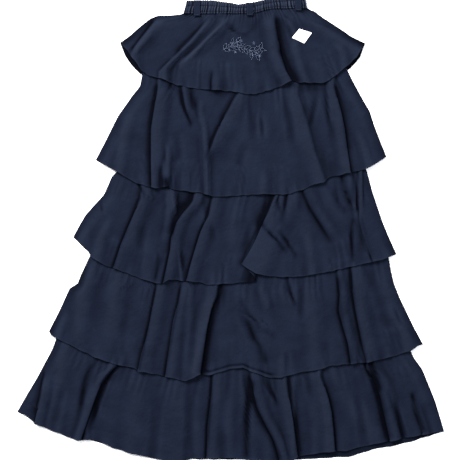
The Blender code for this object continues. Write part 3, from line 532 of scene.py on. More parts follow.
TIER_5 = TierCut(
    name="tier_5",
    left=(
        (-330, -177), (-341, -203), (-348, -225), (-356, -245), (-370, -271), (-386, -301), (-404, -331),
        (-424, -366),
    ),
    right=(
        (344, -198), (352, -225), (358, -247), (364, -259), (380, -281), (394, -315), (406, -345),
        (424, -405),
    ),
    hem=(
        (-424, -366), (-394, -379), (-390, -389), (-340, -409), (-304, -423), (-280, -421), (-260, -425),
        (-236, -437), (-180, -453), (-130, -463), (-90, -464), (-70, -458), (0, -457), (40, -462), (90, -464),
        (122, -463), (132, -455), (190, -445), (230, -443), (280, -431), (340, -419), (400, -408),
        (424, -405),
    ),
    back_hem=(
        (-424, -366), (-386, -384), (-300, -417), (-180, -449), (-90, -460), (0, -461), (90, -460),
        (140, -461), (240, -455), (264, -447), (290, -439), (320, -435), (360, -425), (424, -405),
    ),
    folds=(
        Fold(((-369, -285), (-376, -335), (-389, -385)), Lay.RIGHT, 5.2, 20, 5, ends=Ends.BORN),
        Fold(((-330, -240), (-340, -300), (-352, -404)), Lay.SOFT, 3.5, 26),
        Fold(((-276, -275), (-288, -305), (-294, -335), (-300, -375), (-314, -420)), Lay.SOFT, -3.0, 12),
        Fold(
            (
                (-216, -262), (-229, -278), (-244, -293), (-258, -313), (-268, -338), (-277, -364),
                (-297, -421),
            ),
            Lay.LEFT, 6.0, 22, 7,
        ),
        Fold(((-180, -290), (-190, -360), (-196, -450)), Lay.SOFT, 3.5, 34),
        Fold(((-110, -305), (-112, -380), (-116, -464)), Lay.SOFT, 3.0, 34),
        Fold(((-36, -296), (-40, -345), (-46, -395), (-48, -457)), Lay.RIGHT, 6.6, 30, 7),
        Fold(((28, -290), (36, -335), (30, -385), (36, -415)), Lay.SOFT, -3.0, 12, ends=Ends.DIES),
        Fold(((40, -300), (52, -357), (69, -391), (86, -423), (98, -464)), Lay.RIGHT, 8.5, 20, 6),
        Fold(((110, -296), (116, -335), (124, -385), (133, -455)), Lay.LEFT, 6.4, 24, 5),
        Fold(((180, -296), (193, -335), (200, -365), (204, -405), (207, -444)), Lay.LEFT, 8.0, 30, 6),
        Fold(((268, -280), (284, -300), (296, -335), (305, -375), (316, -424)), Lay.RIGHT, 10.0, 26, 10),
        Fold(((356, -335), (366, -365), (380, -405)), Lay.RIGHT, 5.4, 14, 5, ends=Ends.BORN),
    ),
    creases=soft_folds(
        (-2.0, 9, Ends.BOTH, (66, -295), (76, -320), (92, -349)),
        (-1.8, 10, Ends.BORN, (316, -335), (330, -375), (340, -415)),
        (-1.8, 9, Ends.DIES, (140, -275), (150, -305)),
        (1.4, 8, Ends.THROUGH, (-394, -379), (-391, -389)),
        (1.4, 8, Ends.THROUGH, (124, -463), (130, -455)),
        (-1.5, 16, Ends.BORN, (-146, -330), (-150, -400), (-156, -458)),
        (-1.4, 16, Ends.BORN, (-80, -310), (-82, -380), (-84, -460)),
        (1.6, 18, Ends.BORN, (0, -310), (-6, -390), (-4, -455)),
        (1.6, 18, Ends.BORN, (160, -320), (170, -390), (172, -446)),
        (-1.6, 14, Ends.BORN, (246, -320), (258, -380), (266, -434)),
        (-1.4, 14, Ends.BORN, (-330, -300), (-344, -360), (-354, -400)),
        (-1.4, 8, Ends.DIES, (32, -305), (34, -360), (34, -430)),
        (-1.8, 10, Ends.BORN, (74, -380), (84, -420), (96, -458)),
        (-1.2, 7, Ends.BORN, (322, -330), (334, -370), (344, -410)),
        (1.6, 8, Ends.THROUGH, (-238, -276), (-262, -310), (-272, -345), (-286, -400)),
        (-1.4, 7, Ends.DIES, (-226, -272), (-246, -306), (-262, -345), (-274, -400)),
    ),
    painted_shades=painted_shade_lines(
        (3.5, 3.5, 0.7, (-371, -292), (-378, -321), (-382, -341), (-387, -361), (-391, -377)),
        (7, 6, 0.75, (-222, -276), (-238, -290), (-252, -310), (-262, -336), (-272, -362), (-291, -413)),
        (6, 20, 0.3, (-210, -270), (-218, -285), (-236, -300)),
        (5, 5, 0.45, (-268, -266), (-284, -285), (-294, -310), (-297, -345)),
        (4, 4, 0.9, (-38, -298), (-40, -353), (-43, -385), (-46, -417), (-49, -449)),
        (8, 5, 1.0, (48, -346), (55, -365), (68, -391), (85, -423), (97, -455)),
        (7, 6, 0.85, (43, -310), (37, -342), (31, -371), (30, -410), (31, -449)),
        (8, 10, 0.3, (38, -300), (42, -322), (44, -340)),
        (3, 7, 0.75, (113, -305), (121, -351), (126, -383), (131, -419), (134, -443)),
        (3.5, 5, 0.6, (190, -322), (198, -347), (202, -377), (206, -407), (208, -437)),
        (8, 8, 1.0, (276, -262), (286, -301), (293, -331), (301, -359), (305, -389), (312, -413)),
        (7, 10, 0.9, (275, -266), (283, -290), (291, -315)),
        (5, 6, 1.0, (360, -335), (367, -359), (371, -373), (376, -387), (381, -399)),
        (5, 5, 0.6, (312, -330), (324, -365), (340, -412)),
        (6, 6, 0.5, (72, -302), (90, -345)),
    ),
    hem_level=4.6,
)

TIER_CUTS = (TIER_1, TIER_2, TIER_3, TIER_4, TIER_5)


def smooth(t: np.ndarray) -> np.ndarray:
    """Smooth step from 0 at t = 0 to 1 at t = 1."""
    t = np.clip(t, 0.0, 1.0)
    return t * t * (3.0 - 2.0 * t)


def bell(distance: np.ndarray, width: float) -> np.ndarray:
    """Bell-shaped bump: 1 at its middle and next to nothing beyond twice its width."""
    return np.exp(-((distance / width) ** 2))


def along_x(points: tuple, x: np.ndarray) -> np.ndarray:
    """Height in plan, at each x, of a line of points that runs from left to right."""
    xs, ys = np.array(points, float).T
    return np.interp(x, xs, ys)


def along_path(points: tuple, y: np.ndarray) -> np.ndarray:
    """Position in x, at each y, of a line of points that runs down the skirt."""
    xs, ys = np.array(points, float).T
    return np.interp(-np.asarray(y, float), -ys, xs)


def at_share(points: tuple, share: np.ndarray) -> np.ndarray:
    """Plan points at these shares of a line's length.

    Args:
        points: plan points of the line.
        share: shares from 0 to 1.

    Returns:
        One plan point for each share.
    """
    line = np.array(points, float)
    steps = np.hypot(*np.diff(line, axis=0).T)
    length = np.concatenate([[0.0], np.cumsum(steps)]) / steps.sum()
    return np.stack([np.interp(share, length, line[:, 0]), np.interp(share, length, line[:, 1])], -1)


def distance_to(points: tuple, x: np.ndarray, y: np.ndarray) -> np.ndarray:
    """Distance in plan from points to a line.

    Args:
        points: plan points of the line.
        x: the points' x.
        y: the points' y.

    Returns:
        The distance of each point.
    """
    nearest = np.full(np.shape(x), 1e9)
    for (ax, ay), (bx, by) in zip(points, points[1:]):
        along = ((x - ax) * (bx - ax) + (y - ay) * (by - ay)) / ((bx - ax) ** 2 + (by - ay) ** 2)
        along = np.clip(along, 0.0, 1.0)
        nearest = np.minimum(nearest, np.hypot(x - ax - along * (bx - ax), y - ay - along * (by - ay)))
    return nearest


def smooth_max(a: np.ndarray, b: np.ndarray, blend: float = 1.2) -> np.ndarray:
    """The higher of two surfaces, rounded over the height blend where they meet."""
    return (a + b + np.sqrt((a - b) ** 2 + blend**2)) / 2


def waves(share: np.ndarray, count: float, seed: int) -> np.ndarray:
    """Uneven waves, as cloth makes them: their widths and heights wander.

    Args:
        share: place along the waves, from 0 to 1.
        count: about how many waves there are.
        seed: picks the way that they wander.

    Returns:
        Heights between -1 and 1.
    """
    rng = np.random.default_rng(seed)
    slow, slower, swelling, phase = rng.uniform(0.0, 2 * math.pi, 4)
    turn = 2 * math.pi * count
    wander = 0.9 * np.sin(0.31 * turn * share + slow) + 0.7 * np.sin(0.173 * turn * share + slower)
    height = 0.62 + 0.38 * np.sin(0.23 * turn * share + swelling)
    return height * np.sin(turn * share + wander + phase)


def hollows(points: np.ndarray, reach: float) -> np.ndarray:
    """How far each point lies below the cloth beside it, in its own row.

    Args:
        points: rows and columns of points, in millimetres.
        reach: how far the cloth beside it counts, in millimetres.

    Returns:
        The depth in millimetres of each point, below zero on a ridge.
    """
    depths = np.zeros(points.shape[:2])
    for row, (x, z) in enumerate(zip(points[..., 0], points[..., 2])):
        near = bell(x[:, None] - x[None, :], reach) * np.abs(np.gradient(x))[None, :]
        depths[row] = near @ z / near.sum(1) - z
    return depths


class PanelShape:
    """Front or back of one tier as a surface over the plan."""

    CREASE_GAIN = 2.2
    CREASE_FADE = 0.45  # most of a crease's length over which one end fades
    SEAM_MARGIN = 20  # the gathered edge follows the hem above no closer to a side than this
    SAMPLES = 241  # places across at which a fold is looked for
    # Small waves: height and pitch in millimetres, reach from the seam or the hem, and seed
    RIPPLE_HEIGHT, RIPPLE_PITCH, RIPPLE_REACH, RIPPLE_SEED = 0.8, 17.0, 75.0, 11
    FLUTTER_HEIGHT, FLUTTER_PITCH, FLUTTER_REACH, FLUTTER_SEED = 1.25, 36.0, 24.0, 51
    ROLL_HEIGHT, ROLL_LENGTH, ROLL_LEAN, ROLL_SEED = 1.5, 95.0, 0.0006, 31

    def __init__(self, index: int, side: Side) -> None:
        """Takes the outlines of this half.

        Args:
            index: which tier, from 0 at the waist.
            side: which half.
        """
        self.cut = TIER_CUTS[index]
        self.index = index
        self.side = side
        self.hem = self.cut.hem if side is Side.FRONT else self.cut.back_hem
        over = TIER_CUTS[index - 1] if index else None
        self.over_hem = over and (over.hem if side is Side.FRONT else over.back_hem)
        self.over_back_hem = over and over.back_hem
        self.top = self.gathered_edge(over)
        self.under = None
        if side is Side.FRONT and index < len(TIER_CUTS) - 1:
            self.under = PanelShape(index + 1, Side.FRONT)

    def gathered_edge(self, over: TierCut | None) -> list:
        """The edge sewn to the waistband, or under the tier above and parallel to its hem.

        Args:
            over: the tier above, if there is one.

        Returns:
            Plan points from left to right.
        """
        (x0, y0), (x1, y1) = self.cut.left[0], self.cut.right[0]
        if over is None:
            inner = [(x, y - BAND_JOIN) for x, y in Waistband.LOWER[1:-1]]
        else:
            margin = self.SEAM_MARGIN
            inner = [(x, y + TUCK_UNDER) for x, y in over.hem if x0 + margin < x < x1 - margin]
        return [(x0, y0), *inner, (x1, y1)]

    def below(self, hem: tuple | None, x: np.ndarray, y: np.ndarray) -> np.ndarray:
        """How far points lie below a hem of the tier above; large where there is none."""
        return np.full(np.shape(x), 1e3) if hem is None else along_x(hem, x) - y

    def back_level(self, x: np.ndarray, y: np.ndarray) -> np.ndarray:
        """Middle surface of the back: on the table, but over the hem of the tier above.

        Args:
            x: the points' x.
            y: the points' y.

        Returns:
            The height in millimetres for each point.
        """
        start, end = BACK_DROP
        tucked = 1.0 - smooth((self.below(self.over_back_hem, x, y) - start) / (end - start))
        return BACK_LEVEL + (BACK_TUCKED_LEVEL - BACK_LEVEL) * tucked

    def strength(self, fold: Fold, x: np.ndarray, y: np.ndarray, is_crease: bool = False) -> np.ndarray:
        """Share of a fold's rise that has opened out.

        Args:
            fold: the fold.
            x: the points' x.
            y: the points' y.
            is_crease: a crease opens and closes within its own length.

        Returns:
            A share from 0 to 1 for each point.
        """
        top, foot = fold.path[0][1], fold.path[-1][1]
        fade = min(FADE, self.CREASE_FADE * (top - foot)) if is_crease else FADE
        if self.index:
            share = smooth((self.below(self.over_hem, x, y) + TUCK_UNDER) / FOLD_OPENING)
        else:
            share = smooth((along_x(Waistband.LOWER, x) - y) / fade)
        is_born, is_dying = fold.ends.value
        if is_born:
            share = share * smooth((top - y) / fade)
        if is_dying:
            share = share * smooth((y - foot) / fade)
        return share

    def fold_height(
        self, fold: Fold, x: np.ndarray, y: np.ndarray, covered: bool, is_crease: bool = False
    ) -> np.ndarray:
        """Height that one fold adds.

        Args:
            fold: the fold.
            x: the points' x.
            y: the points' y.
            covered: rounds off a pleat's open side for the cloth over it.
            is_crease: see strength.

        Returns:
            The height in millimetres for each point.
        """
        across = x - along_path(fold.path, y)
        if fold.lay is Lay.SOFT:
            shape = 1.0 - smooth(np.abs(across) / fold.spread)
        else:
            across = -across if fold.lay is Lay.LEFT else across
            shape = 1.0 - smooth((across - fold.overlap) / fold.spread)
            open_side = 1.0 - smooth(-across / COVERED_SIDE) if covered else (across >= 0.0)
            shape = shape * open_side
        gain = self.CREASE_GAIN if is_crease else 1.0
        return gain * fold.rise * shape * self.strength(fold, x, y, is_crease)

    def relief(self, x: np.ndarray, y: np.ndarray, skip: Fold | None, covered: bool) -> np.ndarray:
        """Ridges and raised pleats together, less the troughs, with the creases on them.

        Args:
            x: the points' x.
            y: the points' y.
            skip: a pleat whose own cloth is added elsewhere.
            covered: see fold_height.

        Returns:
            The height in millimetres for each point.
        """
        ridges, troughs = np.zeros(np.shape(x)), np.zeros(np.shape(x))
        for fold in self.cut.folds:
            if fold is skip:
                continue
            height = self.fold_height(fold, x, y, covered)
            if fold.rise > 0:
                ridges = ridges + np.abs(height) ** 3
            else:
                troughs = troughs + height
        creases = sum(self.fold_height(fold, x, y, covered, is_crease=True) for fold in self.cut.creases)
        return np.cbrt(ridges) + np.maximum(troughs, DEEPEST_TROUGH) + creases

    def small_waves(self, x: np.ndarray, y: np.ndarray) -> np.ndarray:
        """Gathers below the seam, slow rolls of the cloth, and the flutter of its free hem.

        Args:
            x: the points' x.
            y: the points' y.

        Returns:
            The height in millimetres for each point.
        """
        left, right = along_path(self.cut.left, y), along_path(self.cut.right, y)
        share = (x - left) / (right - left)
        width = self.hem[-1][0] - self.hem[0][0]
        below, above = self.below(self.over_hem, x, y), y - along_x(self.hem, x)
        gathers = waves(share, width / self.RIPPLE_PITCH, self.RIPPLE_SEED + self.index)
        total = self.RIPPLE_HEIGHT * gathers * (1.0 - smooth(below / self.RIPPLE_REACH))
        rolls = waves(share + self.ROLL_LEAN * y, width / self.ROLL_LENGTH, self.ROLL_SEED + self.index)
        total = total + self.ROLL_HEIGHT * rolls
        flutter = waves(share, width / self.FLUTTER_PITCH, self.FLUTTER_SEED + self.index)
        return total + self.FLUTTER_HEIGHT * flutter * np.exp(-np.abs(above) / self.FLUTTER_REACH)

    def height(
        self, x: np.ndarray, y: np.ndarray, skip: Fold | None = None, covered: bool = False
    ) -> np.ndarray:
        """Middle surface of this panel over the table.

        Args:
            x: the points' x.
            y: the points' y.
            skip: a pleat whose own cloth is added elsewhere.
            covered: whether it is asked for by the tier above, which lies on it.

        Returns:
            The height in millimetres for each point.
        """
        back = self.back_level(x, y)
        if self.side is Side.BACK:
            return back
        below = self.below(self.over_hem, x, y)
        above_hem = y - along_x(self.hem, x)
        start, end = BODY_RISE
        level = TUCKED_LEVEL + (BODY_LEVEL - TUCKED_LEVEL) * smooth((below - start) / (end - start))
        level = level + (self.cut.hem_level - level) * (1.0 - smooth(above_hem / HEM_RISE))
        wanted = level + self.relief(x, y, skip, covered) + self.small_waves(x, y)
        z = smooth_max(wanted, self.floor(x, y, back))
        side = np.minimum(distance_to(self.cut.left, x, y), distance_to(self.cut.right, x, y))
        seam_level = back + CLOTH + CLEAR
        return seam_level + (z - seam_level) * smooth(side / EDGE_ROUNDING)

    def floor(self, x: np.ndarray, y: np.ndarray, back: np.ndarray) -> np.ndarray:
        """Lowest that the front may lie: on its own back, and over the front of the tier below.

        Args:
            x: the points' x.
            y: the points' y.
            back: the back's level there.

        Returns:
            The height in millimetres for each point.
        """
        lowest = back + CLOTH + CLEAR
        if self.under is None:
            return lowest
        inside_left = x - along_path(self.under.cut.left, y)
        inside_right = along_path(self.under.cut.right, y) - x
        (side, side_blend), (above, top_blend) = FLOOR_SIDE, FLOOR_TOP
        inside = smooth((np.minimum(inside_left, inside_right) + side) / side_blend)
        reached = smooth((along_x(self.under.top, x) + above - y) / top_blend)
        cover = self.under.height(x, y, covered=True) + CLOTH + COVER_AIR
        return lowest + (np.maximum(cover, lowest) - lowest) * inside * reached

    def plan(self, across: np.ndarray, down: np.ndarray) -> np.ndarray:
        """Plan points between the panel's four edges.

        Args:
            across: shares from its left edge to its right.
            down: shares from its gathered edge to its hem.

        Returns:
            An array of plan points, with x and y last.
        """
        across, down = np.broadcast_arrays(np.asarray(across, float), np.asarray(down, float))
        edges = []
        for line in (self.top, self.hem):
            x = line[0][0] + across * (line[-1][0] - line[0][0])
            edges.append(np.stack([x, along_x(line, x)], -1))
        a, d = across[..., None], down[..., None]
        top_ends, hem_ends = ([np.array(line[i], float) for i in (0, -1)] for line in (self.top, self.hem))
        rows = (1 - d) * edges[0] + d * edges[1]
        sides = (1 - a) * at_share(self.cut.left, down) + a * at_share(self.cut.right, down)
        top_line = (1 - a) * top_ends[0] + a * top_ends[1]
        hem_line = (1 - a) * hem_ends[0] + a * hem_ends[1]
        return rows + sides - ((1 - d) * top_line + d * hem_line)

    def crossing(self, fold: Fold, downs: np.ndarray) -> np.ndarray:
        """Share across the panel at which each row meets a fold.

        Args:
            fold: the fold.
            downs: the rows' shares down.

        Returns:
            One share for each row.
        """
        across = np.linspace(0.0, 1.0, self.SAMPLES)
        points = self.plan(across[None, :], np.asarray(downs, float)[:, None])
        off = points[..., 0] - along_path(fold.path, points[..., 1])
        return np.array([np.interp(0.0, np.maximum.accumulate(row), across) for row in off])


@dataclass
class PleatedGrid:
    """Columns of points that follow a panel's pleats through every row.

    Attributes:
        shape: the panel's surface.
        downs: shares down of the rows.
        pitch: width of a column between two pleats, in millimetres.
    """

    # One row for each point of a pleat's section, from its lower side to its upper one. While shut, a
    # point lies at a share of the overlap and a few millimetres more; while flat, at its own place.
    # Its height is in shares of a layer and of the rise, and its lift in shares of the fold's.
    #   overlap, shut, flat, layer, rise, lift
    SECTION = (
        (0.0, -3.0, -6.0, 0.0, 0.0, 0.0),
        (1.0, -TURN, -3.6, 0.0, 0.0, 0.0),
        (1.0, 0.0, -1.8, 0.38, 0.0, 0.1),
        (1.0, -TURN, -0.6, 0.78, 0.0, 0.25),
        (0.0, TURN, 0.6, 1.25, 0.0, 1.0),
        (0.0, 0.0, 1.8, 0.6, 0.5, 1.0),
        (0.0, TURN, 3.6, 0.0, 1.0, 0.96),
        (1.0, 0.5, 6.0, 0.0, 1.0, 0.45),
    )
    ROOM = 6.0  # least width that a pleat keeps to each side
    GAP = 3.0  # least width of cloth between two pleats
    SHUT_BLEND = 0.7  # rise over which a pleat goes from flat to shut
    FLAP_START = 0.42  # share down at which a lifted flap starts to widen
    FLAP_LEAST = 0.25  # its share of the overlap above that
    LIFT_REACH = 38.0  # width beside a flap that it draws up with it
    ORDER_ROW = 0.6  # share down at which the pleats are put in order
    SAMPLES = 121  # places across at which a row's length is measured

    shape: PanelShape
    downs: np.ndarray
    pitch: float

    def pleat(self, fold: Fold, across: np.ndarray, length: np.ndarray) -> tuple:
        """Section of a pleat in every row.

        Args:
            fold: the pleat.
            across: its place across in each row.
            length: each row's length in millimetres.

        Returns:
            Arrays of share across, height and lift, one row of numbers for each point of the section.
        """
        shape, downs = self.shape, self.downs
        here = shape.plan(across, downs)
        x, y = here[:, 0], here[:, 1]
        raised = fold.rise * shape.strength(fold, x, y)
        is_dying = fold.ends.value[1]
        steps = (SETTLE, 0.0, -SETTLE) if is_dying else (SETTLE, 0.0)
        settled = np.min([shape.strength(fold, x, y + step) for step in steps], axis=0)
        shut = smooth((settled * fold.rise - 2 * LAYER) / self.SHUT_BLEND) * (fold.overlap > 0)
        overlap = fold.overlap
        if fold.lift:
            widened = (downs - self.FLAP_START) / (1 - self.FLAP_START)
            overlap = overlap * np.maximum(self.FLAP_LEAST, widened)
        side = -1.0 if fold.lay is Lay.LEFT else 1.0
        layer = np.minimum(LAYER, raised / 2)
        shares, heights, lifts = [], [], []
        for shut_share, shut_at, flat_at, of_layer, of_rise, of_lift in self.SECTION:
            at = flat_at + (shut_share * overlap + shut_at - flat_at) * shut
            share = across + side * at / length
            point = shape.plan(share, downs)
            lift = fold.lift * downs**3 * of_lift
            base = shape.height(point[:, 0], point[:, 1] + lift, skip=fold)
            shares.append(share)
            heights.append(base + of_layer * layer + of_rise * np.maximum(raised, 2 * layer))
            lifts.append(lift)
        section = [self.rounded(np.array(values)) for values in (shares, heights, lifts)]
        return tuple(values if side > 0 else values[::-1] for values in section)

    @staticmethod
    def rounded(values: np.ndarray, times: int = 2) -> np.ndarray:
        """Cuts the corners off a section, and keeps its two ends.

        Args:
            values: one row of numbers for each point of the section.
            times: how often they are cut.

        Returns:
            Rows of numbers for more points.
        """
        for _ in range(times):
            near = 0.75 * values[:-1] + 0.25 * values[1:]
            far = 0.25 * values[:-1] + 0.75 * values[1:]
            middle = np.stack([near, far], 1).reshape(-1, values.shape[1])[1:-1]
            values = np.concatenate([values[:1], middle, values[-1:]])
        return values

    def columns(self) -> np.ndarray:
        """Every column of the panel.

        Returns:
            An array of rows, columns and (share across, x, y, z).
        """
        shape, downs = self.shape, self.downs
        fine = np.linspace(0.0, 1.0, self.SAMPLES)
        order = np.append(downs, self.ORDER_ROW)
        steps = np.diff(shape.plan(fine[None, :], order[:, None]), axis=1)
        lengths = np.hypot(steps[..., 0], steps[..., 1]).sum(1)
        folds = shape.cut.folds if shape.side is Side.FRONT else ()
        pleats = [fold for fold in folds if fold.lay is not Lay.SOFT]
        pleats.sort(key=lambda fold: shape.crossing(fold, [self.ORDER_ROW])[0])
        reached, blocks, start = np.zeros(len(order)), [], np.zeros(len(order))
        length = lengths[:-1]
        for fold in pleats:
            before, after = self.ROOM, max(self.ROOM, fold.overlap)
            if fold.lay is Lay.LEFT:
                before, after = after, before
            across = np.maximum(shape.crossing(fold, order), reached + (before + self.GAP) / lengths)
            across = np.minimum(across, 1.0 - (after + 2 * self.GAP) / lengths)
            section = self.pleat(fold, across[:-1], length)
            end = across.copy()
            end[:-1] = section[0][0]
            blocks.append(self.gap(start, end, lengths))
            blocks.append(section)
            start = across + after / lengths
            start[:-1] = section[0][-1]
            reached = across + after / lengths
        blocks.append(self.gap(start, np.ones(len(order)), lengths))
        share, z, lift = (np.concatenate([block[i] for block in blocks]).T for i in range(3))
        x, y = np.moveaxis(shape.plan(share, downs[:, None]), 2, 0)
        y = y + self.lifted(x, y, lift, pleats)
        return np.stack([share, x, y, z], -1)

    def gap(self, start: np.ndarray, end: np.ndarray, lengths: np.ndarray) -> tuple:
        """Plain columns between two pleats, the same number in every row.

        Args:
            start: share across at which they start in each row.
            end: share across at which they end in each row.
            lengths: each row's length in millimetres.

        Returns:
            Arrays of share across, height and lift, as for a pleat.
        """
        count = max(2, round((end[-1] - start[-1]) * lengths[-1] / self.pitch))
        steps = np.linspace(0.0, 1.0, count + 1)
        steps = steps[(0 if start[-1] == 0.0 else 1) : (None if end[-1] == 1.0 else -1)]
        share = start[None, :-1] + steps[:, None] * (end - start)[None, :-1]
        x, y = np.moveaxis(self.shape.plan(share, self.downs[None, :]), 2, 0)
        return share, self.shape.height(x, y), np.zeros(share.shape)

    def lifted(self, x: np.ndarray, y: np.ndarray, lift: np.ndarray, pleats: list) -> np.ndarray:
        """How far each point is drawn up the skirt.

        Args:
            x: the points' x.
            y: the points' y.
            lift: how far the pleats' own sections are.
            pleats: the panel's pleats.

        Returns:
            The distance of each point.
        """
        for fold in (f for f in pleats if f.lift):
            past = x - along_path(fold.path, y) - fold.overlap
            reach = np.exp(-(np.maximum(past, 0.0) + fold.overlap) / self.LIFT_REACH)
            more = fold.lift * self.downs[:, None] ** 3 * reach
            lift = np.where((lift == 0.0) & (past > 0.0), more, lift)
        return lift


class Shader:
    """Small helper that adds nodes to one tree and joins them."""

    def __init__(self, tree: NodeTree) -> None:
        """Works in this node tree."""
        self.tree = tree

    def add(self, kind: str, values: dict | None = None, **settings: object) -> Node:
        """Adds a node.

        Args:
            kind: Blender's name for the node's type.
            values: socket names with a plain value or an output to join.
            settings: the node's own properties.

        Returns:
            The new node.
        """
        node = self.tree.nodes.new(kind)
        for name, value in settings.items():
            setattr(node, name, value)
        for name, value in (values or {}).items():
            self.put(node.inputs[name], value)
        return node

    def put(self, socket: NodeSocket, value: object) -> None:
        """Sets a socket to a plain value, or joins an output to it.

        Args:
            socket: the input.
            value: the plain value or the output.
        """
        if isinstance(value, NodeSocket):
            self.tree.links.new(value, socket)
        else:
            socket.default_value = value

    def math(self, operation: str, a: object, b: object = 0.0) -> NodeSocket:
        """Adds a Math node.

        Args:
            operation: Blender's name for what it does.
            a: plain value or output.
            b: plain value or output.

        Returns:
            Its result.
        """
        node = self.add("ShaderNodeMath", operation=operation)
        self.put(node.inputs[0], a)
        self.put(node.inputs[1], b)
        return node.outputs[0]

    def mix(self, share: object, a: object, b: object) -> NodeSocket:
        """Mixes two colours.

        Args:
            share: share of the second one.
            a: plain colour or output.
            b: plain colour or output.

        Returns:
            The mixed colour.
        """
        node = self.add("ShaderNodeMix", data_type="RGBA")
        for socket, value in zip((node.inputs[0], node.inputs[6], node.inputs[7]), (share, a, b)):
            self.put(socket, value)
        return node.outputs[2]

    def span(self, value: object, given: tuple, wanted: tuple) -> NodeSocket:
        """Maps a value from one range to another, each given as its low and high end."""
        names = ("Value", "From Min", "From Max", "To Min", "To Max")
        return self.add("ShaderNodeMapRange", dict(zip(names, (value, *given, *wanted)))).outputs[0]

    def noise(self, place: object, scale: object, detail: float) -> NodeSocket:
        """Adds a Noise Texture node, and returns its value."""
        return self.add("ShaderNodeTexNoise", {"Vector": place, "Scale": scale, "Detail": detail}).outputs[0]

    def place(self, name: str) -> NodeSocket:
        """Adds a Texture Coordinate node, and returns its Object or UV output."""
        return self.add("ShaderNodeTexCoord").outputs[name]


def new_group(name: str, inputs: dict, outputs: dict) -> tuple:
    """Makes an empty shader node group with named sockets.

    Args:
        name: the group's name.
        inputs: socket names with their plain starting values.
        outputs: socket names with NodeSocketFloat, NodeSocketColor or NodeSocketVector.

    Returns:
        The group, a Shader on it, its input node and its output node.
    """
    group = bpy.data.node_groups.new(name, "ShaderNodeTree")
    for socket, value in inputs.items():
        made = group.interface.new_socket(socket, in_out="INPUT", socket_type="NodeSocketFloat")
        made.default_value = value
    for socket, kind in outputs.items():
        group.interface.new_socket(socket, in_out="OUTPUT", socket_type=kind)
    shader = Shader(group)
    return group, shader, shader.add("NodeGroupInput"), shader.add("NodeGroupOutput")


def wash_group() -> NodeTree:
    """Mask of the slightly uneven colour that washing leaves, in clouds and in fine flecks.

    Returns:
        The group.
    """
    group, shader, given, result = new_group(
        "Washed cloth", {"Cloud size": 30.0, "Fleck size": 900.0, "Flecks": 0.35}, {"Mask": "NodeSocketFloat"}
    )
    place = shader.place("Object")
    clouds = shader.noise(place, given.outputs[0], 4.0)
    flecks = shader.noise(place, given.outputs[1], 2.0)
    soft = shader.span(clouds, (0.32, 0.68), (0.0, 1.0))
    fine = shader.math("MULTIPLY", shader.math("SUBTRACT", flecks, 0.5), given.outputs[2])
    shader.put(result.inputs[0], shader.math("ADD", soft, fine))
    return group


def knit_group() -> NodeTree:
    """Height of a plain knit: rows of V-shaped stitches along the cloth's own UV, in metres.

    Returns:
        The group.
    """
    group, shader, given, result = new_group(
        "Knit stitches", {"Wale": 1.1, "Course": 0.9}, {"Height": "NodeSocketFloat"}
    )
    split = shader.add("ShaderNodeSeparateXYZ", {"Vector": shader.place("UV")})
    turn = 2 * math.pi / MM
    wale, course = (
        shader.math("DIVIDE", shader.math("MULTIPLY", split.outputs[axis], turn), given.outputs[axis])
        for axis in (0, 1)
    )
    column = shader.math("ABSOLUTE", shader.math("SINE", shader.math("MULTIPLY", wale, 0.5)))
    lean = shader.math("ADD", course, shader.math("MULTIPLY", column, 2.4))
    row = shader.math("SINE", lean)
    height = shader.math("ADD", shader.math("MULTIPLY", column, 0.7), shader.math("MULTIPLY", row, 0.3))
    shader.put(result.inputs[0], height)
    return group


def crumple_group() -> NodeTree:
    """Height of the soft crumples that are left in washed cloth, from -1 to 1.

    Returns:
        The group.
    """
    group, shader, given, result = new_group(
        "Soft crumples", {"Size": 42.0, "Fine": 150.0}, {"Height": "NodeSocketFloat"}
    )
    place = shader.place("Object")
    broad, fine = (shader.noise(place, given.outputs[i], detail) for i, detail in enumerate((3.0, 2.0)))
    low = shader.math("MULTIPLY", shader.math("SUBTRACT", broad, 0.5), 1.6)
    high = shader.math("MULTIPLY", shader.math("SUBTRACT", fine, 0.5), 0.4)
    shader.put(result.inputs[0], shader.math("ADD", low, high))
    return group


def edge_group() -> NodeTree:
    """Mask of the paler, rubbed line along a free hem, from each point's distance to it.

    Returns:
        The group.
    """
    group, shader, given, result = new_group("Rubbed hem", {"Width": 2.6}, {"Mask": "NodeSocketFloat"})
    distance = shader.add("ShaderNodeAttribute", attribute_name="hem_distance").outputs["Fac"]
    near = shader.math("SUBTRACT", 1.0, shader.math("DIVIDE", distance, given.outputs[0]))
    worn = shader.span(shader.noise(shader.place("Object"), 90.0, 3.0), (0.35, 0.65), (0.35, 1.0))
    shader.put(result.inputs[0], shader.math("MULTIPLY", shader.math("MAXIMUM", near, 0.0), worn))
    return group


def painted_shading_group() -> NodeTree:
    """Masks of the painted shade in the hollows and of the painted highlight on the ridges.

    Returns:
        The group.
    """
    outputs = {"Hollow": "NodeSocketFloat", "Ridge": "NodeSocketFloat"}
    group, shader, given, result = new_group("Hollows and ridges", {"Ridge share": 0.7}, outputs)
    depth = shader.add("ShaderNodeAttribute", attribute_name="painted_shading").outputs["Fac"]
    shader.put(result.inputs[0], shader.math("MAXIMUM", depth, 0.0))
    ridge = shader.math("MAXIMUM", shader.math("MULTIPLY", depth, -1.0), 0.0)
    shader.put(result.inputs[1], shader.math("MULTIPLY", ridge, given.outputs[0]))
    return group


